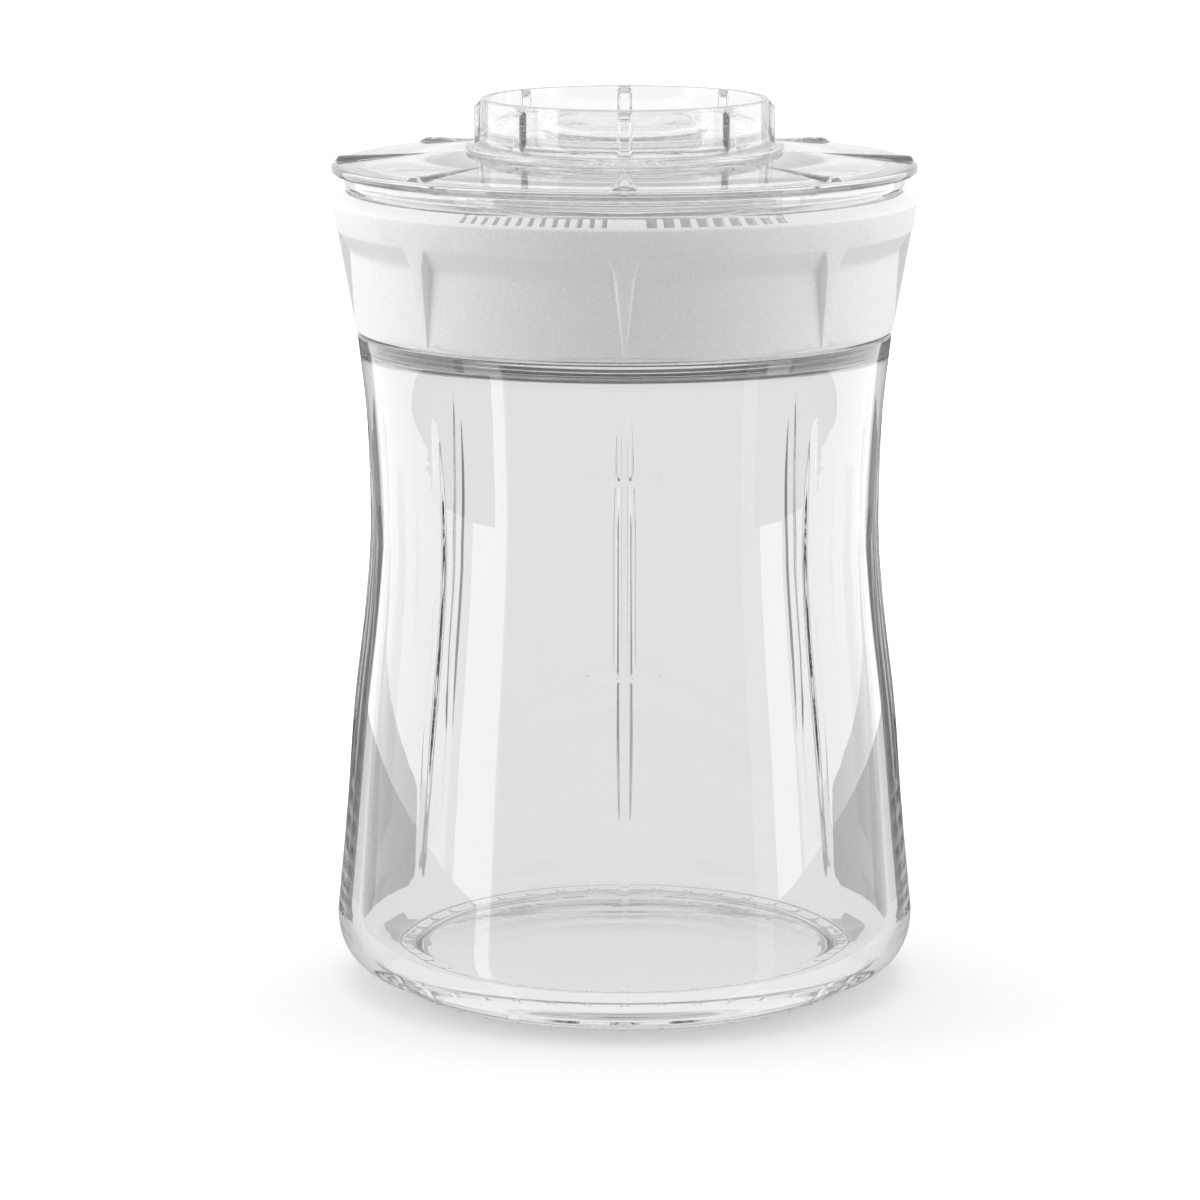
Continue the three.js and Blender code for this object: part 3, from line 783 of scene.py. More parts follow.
    def foot_rows(self) -> list[Row]:
        """Rows from the middle of the underside to the heel."""
        inner = self.foot_radius - self.foot_width
        edge = self.foot_round
        under = filleted([
            (0.0, self.punt_rise, 0.0),
            (inner - self.punt_rise, self.punt_rise, self.punt_round),
            (inner, self.stud_height, edge),
            (self.foot_radius, self.stud_height, edge),
        ], ring=False)
        rows = plain_rows(under[:-1])
        for radius in spaced(inner + 2 * edge, self.foot_radius - 2 * edge, self.stud_row_step):
            rows.append(Row(radius, self.stud_height, self.stud_relief(radius)))
        outside = filleted([
            (self.foot_radius - 2 * edge, self.stud_height, 0.0),
            (self.foot_radius, self.stud_height, edge),
            (self.foot_radius, self.foot_step, edge / 2),
            (self.foot_radius + self.heel_step, self.foot_step, 0.0),
        ], ring=False)
        heel = bent(
            (self.foot_radius + self.heel_step, self.foot_step),
            (self.body[0][0], self.foot_step + self.heel_fullness),
            self.body[0],
        )
        return rows + plain_rows(outside[1:-1] + heel[:-1])

    def body_rows(self) -> list[Row]:
        """Rows of the body's outside, closer together at the level marks."""
        heights = set(spaced(self.body[0][1], self.body[-1][1], self.row_step))
        for level in self.mark_heights:
            heights = {height for height in heights if abs(height - level) > self.mark_clear}
            heights.update(level + side * offset for offset in self.mark_rows for side in (-1, 1))
        rows = []
        for height in sorted(heights):
            radius = self.body_radius(height)
            rows.append(Row(radius, height, self.body_relief(height, radius)))
        return rows

    def neck_rows(self) -> list[Row]:
        """Rows over the shoulder, up the threaded neck and over the rim."""
        shoulder = filleted([
            (*self.body[-1], 0.0),
            (self.body[-1][0], self.shoulder_height, self.shoulder_round),
            (self.neck_radius, self.shoulder_height, self.neck_fillet),
            (self.neck_radius, self.neck_top, 0.0),
        ], ring=False)
        rows = plain_rows(shoulder[2:-1])
        low = self.shoulder_height + 2 * self.neck_fillet
        for height in spaced(low, self.neck_top - 2 * self.rim_round, self.neck_row_step):
            rows.append(Row(self.neck_radius, height, self.neck_relief(height)))
        rim = filleted([
            (self.neck_radius, low, 0.0),
            (self.neck_radius, self.neck_top, self.rim_round),
            (self.mouth_radius, self.neck_top, self.rim_round),
            (self.mouth_radius, self.shoulder_height, 0.0),
        ], ring=False)
        return rows + plain_rows(rim[1:-1])

    def inside_rows(self) -> list[Row]:
        """Rows from the mouth down the inside to the middle of the floor."""
        floor_top = self.punt_rise + self.floor_thickness
        wall_foot = floor_top + self.floor_sweep
        ceiling = self.shoulder_height - self.shoulder_wall
        wall_top = ceiling - self.shoulder_sweep
        side = self.inner_radius(wall_top)
        foot = self.inner_radius(wall_foot)
        points = bent(
            (self.mouth_radius, self.shoulder_height),
            (self.mouth_radius, ceiling),
            (self.mouth_radius + self.shoulder_sweep / 2, ceiling),
        )
        points += bent((side - self.shoulder_sweep / 2, ceiling), (side, ceiling), (side, wall_top))
        for height in spaced(wall_top, wall_foot, self.row_step)[1:-1]:
            points.append((self.inner_radius(height), height))
        points += bent((foot, wall_foot), (foot, floor_top), (self.floor_radius, floor_top))
        points.append((0.0, floor_top))
        return plain_rows(points)

    def columns(self) -> list[float]:
        """Angles of the columns, close together at the ribs and closest at the marked front."""
        angles = set(angles_round(self.stud_count, self.column_shares))
        for index in range(self.rib_count):
            reach = self.mark_columns if index == 0 else self.rib_columns
            middle = FULL_TURN / self.rib_count * index
            angles = {angle for angle in angles if abs(from_feature(angle - middle, 1)) > reach}
            angles.update(spaced(middle - reach, middle + reach, self.column_step))
        return sorted(angles)

    def build(self, finish: PressedGlass) -> Piece:
        """Builds the jar and dresses it."""
        rows = self.foot_rows() + self.body_rows() + self.neck_rows() + self.inside_rows()
        piece = turned("jar_of_pressed_glass", rows, self.columns(), ring=False)
        dress(piece, "glass_jar", finish.material())
        return piece


@dataclass
class SealRing:
    """Silicone ring with rounded edges and a fine lip on both faces."""

    node: str
    inner: float
    outer: float
    bottom: float
    thickness: float
    edge: float = 0.3
    columns: int = 180

    def build(self, finish: MouldedSilicone) -> Piece:
        """Builds the ring and dresses it."""
        top = self.bottom + self.thickness
        middle = (self.inner + self.outer) / 2
        dip = self.edge / 2
        outline = filleted([
            (self.inner, self.bottom, self.edge),
            (middle, self.bottom + dip, self.edge / 2),
            (self.outer, self.bottom, self.edge),
            (self.outer, top, self.edge),
            (middle, top - dip, self.edge / 2),
            (self.inner, top, self.edge),
        ], ring=True)
        angles = angles_round(self.columns, (0.0,))
        piece = turned(f"{self.node}_moulded", plain_rows(outline), angles, ring=True)
        dress(piece, self.node, finish.material())
        return piece


@dataclass
class StrainerCollar:
    """White screw-on collar with eight tapered ribs and two sets of slots in its sloping top face."""

    jar: GlassJar
    shoulder_gap: float = 0.5
    seal_gap: float = 0.25
    seal_thickness: float = 1.4
    top_radius: float = 57.5
    wall: float = 2.45
    edge: float = 0.45
    lip_clearance: float = 0.5
    lip_wall: float = 2.3
    lip_length: float = 3.3
    deck_thickness: float = 1.9
    seat_depth: float = 6.2
    seat_draft: float = 0.4
    top_face_width: float = 2.9
    top_face_drop: float = 1.9
    band_height: float = 5.5
    ledge_height: float = 3.9
    panel_inset: float = 1.95
    rib_count: int = 8
    rib_width: float = 5.0
    rib_neck: float = 2.8
    rib_tip: float = 0.3
    rib_flank: float = 0.9
    rib_root_gap: float = 0.05
    panel_fillet: float = 0.9
    ledge_fillet: float = 0.4
    band_start: float = 1.0
    panel_row_step: float = 1.2
    slot_depth: float = 3.4
    slot_lip: float = 0.45
    slot_inner: float = 52.2
    fine_slots: Sequence[float] = tuple(-3.8 - 2.4 * index for index in range(13))
    fine_width: float = 0.95
    coarse_slots: Sequence[float] = tuple(5.2 + 3.3 * index for index in range(9))
    coarse_width: float = 2.1
    crest_share: float = 0.3
    root_share: float = 0.45
    column_shares: Sequence[float] = (
        0.0, 0.12, 0.22, 0.28, 0.3, 0.32, 0.345, 0.375, 0.405, 0.43, 0.45, 0.47, 0.5,
        0.56, 0.63, 0.7, 0.77, 0.84, 0.92, 1.0,
    )

    @property
    def bottom(self) -> float:
        """Height of the lower edge."""
        return self.jar.shoulder_height + self.shoulder_gap

    @property
    def deck_bottom(self) -> float:
        """Height of the deck's underside, over the neck seal."""
        return self.jar.neck_top + self.seal_thickness + 2 * self.seal_gap

    @property
    def deck_top(self) -> float:
        """Height of the deck."""
        return self.deck_bottom + self.deck_thickness

    @property
    def top(self) -> float:
        """Height of the sloping face's inner edge."""
        return self.deck_top + self.seat_depth

    @property
    def outer_edge(self) -> float:
        """Height of the sloping face's outer edge."""
        return self.top - self.top_face_drop

    @property
    def ledge_top(self) -> float:
        """Height where the plain band ends."""
        return self.outer_edge - self.band_height

    @property
    def ledge_bottom(self) -> float:
        """Height where the recessed panels begin."""
        return self.ledge_top - self.ledge_height

    @property
    def bore(self) -> float:
        """Radius inside the skirt, clear of the neck's lugs."""
        return self.jar.neck_radius + self.jar.thread.lug_depth + self.jar.thread.clearance

    @property
    def lip_outer(self) -> float:
        """Outside radius of the lip that hangs in the mouth."""
        return self.jar.mouth_radius - self.lip_clearance

    @property
    def seat_top(self) -> float:
        """Radius of the sloping face's inner edge."""
        return self.top_radius - self.top_face_width

    def cone_radius(self, height: float) -> float:
        """Outside radius of the plain cone at a height."""
        return along([(self.bottom, self.bore + self.wall), (self.outer_edge, self.top_radius)], height)

    def rib_relief(self, height: float, radius: float) -> Relief:
        """Tapered ribs at a height of the panels, whose columns follow the ribs' edges."""
        low = self.bottom + self.edge
        crest = along([
            (low, self.rib_tip / 2),
            (self.ledge_bottom, self.rib_neck / 2),
            (self.ledge_top, self.rib_width / 2),
        ], height)
        root = crest + self.rib_flank * max(0.0, (height - low) / (self.ledge_top - low))
        half_pitch = math.radians(FULL_TURN / self.rib_count / 2) * radius
        root_arc = root + self.rib_root_gap
        arcs = [(0.0, 0.0), (self.crest_share, crest), (self.root_share, root_arc), (1.0, half_pitch)]
        proud = max(0.0, self.cone_radius(height) - radius)

        def relief(angle: float) -> Triple:
            """Turn and outward rise of the collar at an angle."""
            offset = from_feature(angle, self.rib_count)
            share = abs(offset) / (FULL_TURN / self.rib_count / 2)
            turn = math.degrees(along(arcs, share) / radius)
            flank = (share - self.crest_share) / (self.root_share - self.crest_share)
            return math.copysign(turn, offset) - offset, proud * (1 - smooth_step(flank)), 0.0

        return relief

    def thread_relief(self, height: float) -> Relief:
        """Thread lugs at a height of the bore, half a pitch under the neck's."""
        thread = self.jar.thread
        middle = self.jar.shoulder_height + self.jar.thread_height - thread.lead / thread.starts / 2
        return lambda angle: (0.0, -thread.rise(middle, height, angle), 0.0)

    def inside_rows(self) -> list[Row]:
        """Rows from the lip under the deck and down the threaded bore."""
        lip_bottom = self.deck_bottom - self.lip_length
        points = filleted([
            (self.lip_outer - self.lip_wall, self.deck_top, 0.0),
            (self.lip_outer - self.lip_wall, lip_bottom, self.edge),
            (self.lip_outer, lip_bottom, self.edge),
            (self.lip_outer, self.deck_bottom, self.edge / 2),
            (self.bore, self.deck_bottom, self.edge / 2),
            (self.bore, self.bottom, 0.0),
        ], ring=False)
        rows = plain_rows(points[1:-1])
        top, foot = self.deck_bottom - 2 * self.edge, self.bottom + 2 * self.edge
        for height in spaced(top, foot, self.jar.neck_row_step):
            rows.append(Row(self.bore, height, self.thread_relief(height)))
        return rows

    def outside_rows(self) -> list[Row]:
        """Rows from the lower edge up the ribbed panels, the ledge and the band to the deck."""
        foot = self.bore + self.wall
        panel_top = self.cone_radius(self.ledge_bottom) - self.panel_inset
        lower = filleted([
            (self.bore, self.bottom + 2 * self.edge, 0.0),
            (self.bore, self.bottom, self.edge / 2),
            (foot, self.bottom, self.edge),
            (foot, self.bottom + 2 * self.edge, 0.0),
        ], ring=False)
        rows = plain_rows(lower[1:-1])
        ledge = filleted([
            (foot, self.bottom + self.edge, 0.0),
            (panel_top, self.ledge_bottom, self.panel_fillet),
            (self.cone_radius(self.ledge_top), self.ledge_top, self.ledge_fillet),
            (self.cone_radius(self.outer_edge), self.outer_edge, 0.0),
        ], ring=False)
        start = ledge[1]
        for height in spaced(self.bottom + 2 * self.edge, start[1], self.panel_row_step)[:-1]:
            radius = along([(self.bottom + self.edge, foot), (start[1], start[0])], height)
            rows.append(Row(radius, height, self.rib_relief(height, radius)))
        for radius, height in ledge[1:-1]:
            rows.append(Row(radius, height, self.rib_relief(height, radius)))
        band = self.ledge_top + self.band_start
        upper = filleted([
            (self.cone_radius(band), band, 0.0),
            (self.top_radius, self.outer_edge, self.edge),
            (self.seat_top, self.top, self.edge / 2),
            (self.seat_top - self.seat_draft, self.deck_top, self.edge),
            (self.lip_outer - self.lip_wall, self.deck_top, self.edge),
            (self.lip_outer - self.lip_wall, self.deck_bottom - self.lip_length, 0.0),
        ], ring=False)
        return rows + plain_rows(upper[:-1])

    def build(self, finish: MouldedPolypropylene) -> Piece:
        """Builds the collar, cuts its slots and dresses it."""
        rows = self.inside_rows() + self.outside_rows()
        angles = angles_round(self.rib_count, self.column_shares)
        piece = turned("strainer_collar_moulded", rows, angles, ring=True)
        slots = [(angle, self.fine_width) for angle in self.fine_slots]
        slots += [(angle, self.coarse_width) for angle in self.coarse_slots]
        floor = self.top - self.slot_depth
        end = self.cone_radius(floor) - self.slot_lip
        cut(piece, radial_boxes(slots, self.slot_inner, end, floor, self.top + self.seat_depth))
        dress(piece, "strainer_collar", finish.material())
        return piece


@dataclass
class MainLid:
    """Clear lid with a thin rim, eight ridges, a socket for the cap and a pour window at the rear."""

    collar: StrainerCollar
    seal_thickness: float = 1.6
    seat_gap: float = 0.3
    side_gap: float = 0.3
    skirt_wall: float = 1.7
    step: float = 0.5
    step_rise: float = 1.2
    rim_drop: float = 2.0
    rim_thickness: float = 1.9
    crown_rise: float = 2.1
    plate: float = 2.0
    rim_edge: float = 0.8
    edge: float = 0.35
    spigot_wall: float = 1.2
    spigot_foot: float = 1.2
    socket_radius: float = 29.4
    socket_wall: float = 1.6
    socket_ledge: float = 2.8
    ledge_top: float = 159.95
    ledge_thickness: float = 1.4
    boss_width: float = 2.45
    ridge_count: int = 8
    ridge_width: float = 5.8
    ridge_height: float = 1.0
    ridge_length: float = 19.0
    ridge_inset: float = 0.9
    ridge_end: float = 0.9
    ridge_share: float = 0.5
    ridge_least: float = 0.12
    ridge_end_step: float = 15.0
    ridge_row_step: float = 0.8
    spigot_fillet: float = 0.1
    step_fillet: float = 0.2
    rim_root: float = 0.5
    boss_fillet: float = 1.0
    socket_fillet: float = 0.8
    hollow_fillet: float = 1.2
    cut_reach: float = 1.0
    window_step: float = 3.0
    window_sweep: float = 60.0
    window_height: float = 2.8
    column_shares: Sequence[float] = (
        0.0, 0.08, 0.16, 0.24, 0.32, 0.39, 0.44, 0.475, 0.495, 0.505, 0.53, 0.58,
        0.64, 0.7, 0.76, 0.82, 0.88, 0.94, 1.0,
    )

    @property
    def rim_radius(self) -> float:
        """Radius of the rim, as wide as the collar."""
        return self.collar.top_radius

    @property
    def step_height(self) -> float:
        """Height of the step over the collar's top."""
        return self.collar.top + self.seat_gap

    @property
    def rim_bottom(self) -> float:
        """Height of the rim's underside."""
        return self.step_height + self.step_rise + self.rim_drop

    @property
    def rim_top(self) -> float:
        """Height of the rim."""
        return self.rim_bottom + self.rim_thickness

    @property
    def boss_top(self) -> float:
        """Height of the raised middle."""
        return self.rim_top + self.crown_rise

    @property
    def boss_radius(self) -> float:
        """Radius of the raised middle."""
        return self.socket_radius + self.boss_width

    @property
    def skirt_radius(self) -> float:
        """Outside radius of the skirt in the collar's seat."""
        return self.collar.seat_top - self.collar.seat_draft - self.side_gap

    @property
    def skirt_inner(self) -> float:
        """Inside radius of the skirt."""
        return self.skirt_radius - self.skirt_wall

    @property
    def spigot_outer(self) -> float:
        """Outside radius of the spigot inside the lid seal."""
        return self.skirt_inner - self.side_gap

    @property
    def spigot_top(self) -> float:
        """Height of the skirt's foot, over the lid seal."""
        return self.collar.deck_top + self.seal_thickness + 2 * self.collar.seal_gap

    def crown_height(self, radius: float) -> float:
        """Height of the sloping top at a radius."""
        return along([(self.boss_radius, self.boss_top), (self.rim_radius, self.rim_top)], radius)

    def ridge_relief(self, radius: float) -> Relief:
        """Half-round ridges at a radius of the sloping top, whose columns follow the ridges' sides."""
        outer = self.rim_radius - self.ridge_inset
        grown = max(0.0, (radius - outer + self.ridge_length) / self.ridge_length)
        ended = min(max((radius - outer + self.ridge_end) / self.ridge_end, 0.0), 1.0)
        height = self.ridge_height * grown * math.sqrt(1 - ended**2)
        half = max(self.ridge_width / 2 * grown, self.ridge_least)
        half_pitch = math.radians(FULL_TURN / self.ridge_count / 2) * radius
        arcs = [(0.0, 0.0), (self.ridge_share, half), (1.0, half_pitch)]

        def relief(angle: float) -> Triple:
            """Turn and upward rise of the lid at an angle."""
            offset = from_feature(angle, self.ridge_count)
            share = abs(offset) / (FULL_TURN / self.ridge_count / 2)
            arc = along(arcs, share)
            rise = height * max(0.0, 1 - (arc / half) ** 2)
            return math.copysign(math.degrees(arc / radius), offset) - offset, 0.0, rise

        return relief

    def rows(self) -> list[Row]:
        """Rows round the lid's whole section."""
        collar = self.collar
        spigot_inner = self.spigot_outer - self.spigot_wall
        spigot_bottom = self.spigot_top - self.seal_thickness
        step_radius = collar.seat_top + self.step
        outer = self.rim_radius - self.ridge_inset
        ridge_start = outer - self.ridge_length
        under = filleted([
            (spigot_inner, self.spigot_top + self.spigot_foot, 0.0),
            (spigot_inner, spigot_bottom, self.edge),
            (self.spigot_outer, spigot_bottom, self.edge),
            (self.spigot_outer, self.spigot_top, self.spigot_fillet),
            (self.skirt_radius, self.spigot_top, self.edge),
            (self.skirt_radius, self.step_height, self.step_fillet),
            (collar.seat_top, self.step_height, self.step_fillet),
            (step_radius, self.step_height + self.step_rise, self.edge),
            (step_radius, self.rim_bottom, self.rim_root),
            (self.rim_radius, self.rim_bottom, self.rim_edge),
            (self.rim_radius, self.rim_top, self.rim_edge),
            (outer, self.crown_height(outer), 0.0),
        ], ring=False)
        rows = plain_rows(under[1:-1])
        turns = spaced(QUARTER_TURN, 0.0, self.ridge_end_step)
        ends = [outer - self.ridge_end * math.cos(math.radians(turn)) for turn in turns]
        for radius in ends[:-1] + spaced(outer - self.ridge_end, ridge_start, self.ridge_row_step):
            rows.append(Row(radius, self.crown_height(radius), self.ridge_relief(radius)))
        socket_bottom = self.ledge_top - self.ledge_thickness
        socket_outer = self.socket_radius + self.socket_wall
        ledge_inner = self.socket_radius - self.socket_ledge
        inside = filleted([
            (ridge_start, self.crown_height(ridge_start), 0.0),
            (self.boss_radius, self.boss_top, self.boss_fillet),
            (self.socket_radius, self.boss_top, self.edge),
            (self.socket_radius, self.ledge_top, self.edge),
            (ledge_inner, self.ledge_top, self.edge),
            (ledge_inner, socket_bottom, self.edge),
            (socket_outer, socket_bottom, self.edge),
            (socket_outer, self.crown_height(socket_outer) - self.plate, self.socket_fillet),
            (self.skirt_inner, self.crown_height(self.skirt_inner) - self.plate, self.hollow_fillet),
            (self.skirt_inner, self.spigot_top + self.spigot_foot, self.spigot_fillet),
            (spigot_inner, self.spigot_top + self.spigot_foot, self.step_fillet),
            (spigot_inner, spigot_bottom, 0.0),
        ], ring=False)
        return rows + plain_rows(inside[1:-1])

    def window_cutter(self) -> Piece:
        """Builds the sector that opens the pour window in the skirt at the rear."""
        inner, outer = self.skirt_inner - self.cut_reach, self.skirt_radius + self.cut_reach
        low, high = self.step_height - self.window_height, self.step_height
        half = self.window_sweep / 2
        steps = spaced(HALF_TURN - half, HALF_TURN + half, self.window_step)
        section = ((inner, low), (outer, low), (outer, high), (inner, high))
        vertices = [polar(radius, angle, height) for angle in steps for radius, height in section]
        faces = [(3, 2, 1, 0), tuple(len(vertices) - 4 + corner for corner in range(4))]
        for index in range(len(steps) - 1):
            for corner in range(4):
                near, far = 4 * index + corner, 4 * index + (corner + 1) % 4
                faces.append((near, far, far + 4, near + 4))
        return linked_object("cutter", vertices, faces)

    def build(self, finish: ClearCopolyester) -> Piece:
        """Builds the lid, cuts its pour window and dresses it."""
        angles = angles_round(self.ridge_count, self.column_shares)
        piece = turned("main_lid_moulded", self.rows(), angles, ring=True)
        cut(piece, self.window_cutter())
        dress(piece, "main_lid", finish.material())
        return piece


@dataclass
class CitrusReamer:
    """Clear lift-out citrus press: a fluted cone on a flange with drain slots."""

    lid: MainLid
    seal_gap: float = 0.25
    flange: float = 1.2
    cone_radius: float = 14.0
    wall: float = 1.6
    tip_radius: float = 2.4
    tip_height: float = 168.7
    flute_count: int = 10
    flute_height: float = 1.5
    flute_half: float = 1.6
    drain_count: int = 12
    drain_width: float = 2.2
    drain_margin: float = 2.4
    edge: float = 0.3
    flute_softness: float = 0.15
    tip_fillet: float = 0.8
    foot_fillet: float = 0.6
    flange_gap: float = 0.05
    row_step: float = 0.7
    column_shares: Sequence[float] = (0.0, 0.06, 0.12, 0.2, 0.28, 0.36, 0.44, 0.54, 0.66, 0.82, 1.0)

    @property
    def bottom(self) -> float:
        """Height of the flange's underside."""
        return self.lid.ledge_top + self.seal_gap

    def flute_relief(self, radius: float) -> Relief:
        """Flutes at a radius of the cone, which grow with the radius."""
        size = radius / self.cone_radius

        def relief(angle: float) -> Triple:
            """Outward rise of the cone at an angle."""
            across = math.radians(abs(from_feature(angle, self.flute_count))) * radius
            slope = self.flute_height / self.flute_half
            rise = size * self.flute_height - slope * across
            return 0.0, soft_positive(rise, self.flute_softness), 0.0

        return relief

    def build(self, finish: ClearCopolyester) -> Piece:
        """Builds the reamer, cuts its drain slots and dresses it."""
        top = self.bottom + self.flange
        radius = self.lid.socket_radius - self.lid.side_gap
        shoulder = self.tip_height - self.wall / 2
        cone = [(top, self.cone_radius), (self.tip_height, self.tip_radius)]
        flange = filleted([
            (0.0, self.tip_height - self.wall, 0.0),
            (self.tip_radius, self.tip_height - self.wall, self.tip_fillet),
            (self.cone_radius - self.wall / 2, self.bottom, self.foot_fillet),
            (radius, self.bottom, self.edge),
            (radius, top, self.edge),
            (self.cone_radius + self.flute_height, top, 0.0),
        ], ring=False)
        rows = plain_rows(flange)
        for height in spaced(top + self.flange_gap, shoulder, self.row_step):
            at = along(cone, height)
            rows.append(Row(at, height, self.flute_relief(at)))
        tip = along(cone, shoulder)
        point = bent((tip, shoulder), (tip / 2, self.tip_height), (0.0, self.tip_height))
        rows += plain_rows(point[1:])
        angles = angles_round(self.flute_count, self.column_shares)
        piece = turned("citrus_reamer_moulded", rows, angles, ring=False)
        pitch = FULL_TURN / self.drain_count
        drains = [(pitch * index, self.drain_width) for index in range(self.drain_count)]
        inner = self.cone_radius + self.flute_height + self.drain_margin / 2
        outer = self.lid.socket_radius - self.lid.socket_ledge - self.drain_margin
        cut(piece, radial_boxes(drains, inner, outer, self.bottom - self.flange, top + self.flange))
        dress(piece, "citrus_reamer", finish.material())
        return piece


@dataclass
class MeasuringCap:
    """Clear open cup on a plug, with a flared foot, a domed floor and eight grip ribs."""

    lid: MainLid
    gap: float = 0.5
    height: float = 9.9
    radius: float = 28.25
    wall: float = 1.35
    floor: float = 1.5
    floor_rise: float = 1.7
    flange_width: float = 1.8
    flange_edge: float = 0.6
    flare_rise: float = 3.6
    rim_round: float = 0.4
    dome_radius: float = 15.0
    dome_rise: float = 2.4
    plug_length: float = 4.2
    plug_gap: float = 1.7
    plug_wall: float = 2.1
    plug_land: float = 0.6
    seal_thickness: float = 1.8
    seal_depth: float = 0.6
    seal_gap: float = 0.25
    rib_count: int = 8
    rib_width: float = 2.7
    rib_proud: float = 1.2
    rib_drop: float = 1.5
    rib_squareness: int = 4
    edge: float = 0.25
    inside_fillet: float = 0.8
    groove_fillet: float = 0.1
    flange_fillet: float = 0.3
    row_step: float = 0.3
    column_shares: Sequence[float] = (
        0.0, 0.03, 0.06, 0.085, 0.105, 0.12, 0.135, 0.16, 0.22, 0.3, 0.4, 0.5, 0.6, 0.7, 0.8, 0.9, 1.0,
    )

    @property
    def bottom(self) -> float:
        """Height of the flange's underside."""
        return self.lid.boss_top + self.gap

    @property
    def top(self) -> float:
        """Height of the rim."""
        return self.bottom + self.height

    @property
    def plug_radius(self) -> float:
        """Outside radius of the plug."""
        return self.lid.socket_radius - self.plug_gap

    @property
    def groove_bottom(self) -> float:
        """Height of the seal groove's lower side."""
        return self.bottom - self.plug_length + self.plug_land

    def rib_relief(self, height: float, radius: float) -> Relief:
        """Grip ribs at a height of the wall, sloped off at the rim."""
        top = self.top - self.rim_round
        crest = self.radius + along([(top - self.rib_drop, self.rib_proud), (top, 0.0)], height)
        proud = max(0.0, crest - radius)

        def relief(angle: float) -> Triple:
            """Outward rise of the wall at an angle."""
            across = math.radians(abs(from_feature(angle, self.rib_count))) * radius
            side = across / (self.rib_width / 2)
            return 0.0, proud * math.sqrt(max(0.0, 1 - side**self.rib_squareness)), 0.0

        return relief

    def rows(self) -> list[Row]:
        """Rows from the underside's middle over the plug, the wall and the rim to the floor's middle."""
        floor_bottom = self.bottom + self.floor_rise
        floor_top = floor_bottom + self.floor
        plug_bottom = self.bottom - self.plug_length
        plug_inner = self.plug_radius - self.plug_wall
        groove = self.plug_radius - self.seal_depth
        groove_top = self.groove_bottom + self.seal_thickness + 2 * self.seal_gap
        flange = self.lid.socket_radius + self.flange_width
        half = self.dome_radius / 2
        under: Outline = [(0.0, floor_bottom + self.dome_rise)]
        under += bent(
            (half, floor_bottom + self.dome_rise),
            (self.dome_radius, floor_bottom + self.dome_rise),
            (self.dome_radius, floor_bottom),
        )
        under += filleted([
            (self.dome_radius, floor_bottom, 0.0),
            (plug_inner, floor_bottom, self.inside_fillet),
            (plug_inner, plug_bottom, self.edge),
            (self.plug_radius, plug_bottom, self.edge),
            (self.plug_radius, self.groove_bottom, self.groove_fillet),
            (groove, self.groove_bottom, self.groove_fillet),
            (groove, groove_top, self.groove_fillet),
            (self.plug_radius, groove_top, self.groove_fillet),
            (self.plug_radius, self.bottom, self.flange_fillet),
            (flange, self.bottom, self.edge),
            (flange, self.bottom + self.flange_edge, 0.0),
        ], ring=False)[1:-1]
        rows = plain_rows(under)
        flare_top = self.bottom + self.flare_rise
        flare = bent(
            (flange, self.bottom + self.flange_edge),
            (self.radius, self.bottom + self.flange_edge),
            (self.radius, flare_top),
        )
        levels = spaced(flare_top, self.top - self.rim_round, self.row_step)
        wall = [(self.radius, height) for height in levels[1:]]
        for radius, height in flare + wall:
            rows.append(Row(radius, height, self.rib_relief(height, radius)))
        inner = self.radius - self.wall
        dome_top = floor_top + self.dome_rise
        dome_foot = self.dome_radius + self.floor
        rim = filleted([
            (self.radius, self.top - 2 * self.rim_round, 0.0),
            (self.radius, self.top, self.rim_round),
            (inner, self.top, self.rim_round),
            (inner, floor_top, self.inside_fillet),
            (dome_foot, floor_top, 0.0),
        ], ring=False)[2:-1]
        inside = bent((dome_foot, floor_top), (dome_foot, dome_top), (half, dome_top))
        rows += plain_rows(rim + inside)
        rows.append(Row(0.0, dome_top))
        return rows

    def build(self, finish: ClearCopolyester) -> Piece:
        """Builds the cap and dresses it."""
        angles = angles_round(self.rib_count, self.column_shares)
        piece = turned("measuring_cap_moulded", self.rows(), angles, ring=False)
        dress(piece, "measuring_cap", finish.material())
        return piece


# Studio


class Seen(Enum):
    """Which rays meet a card of the studio."""

    REFLECTED = "reflected"
    REFRACTED = "refracted"


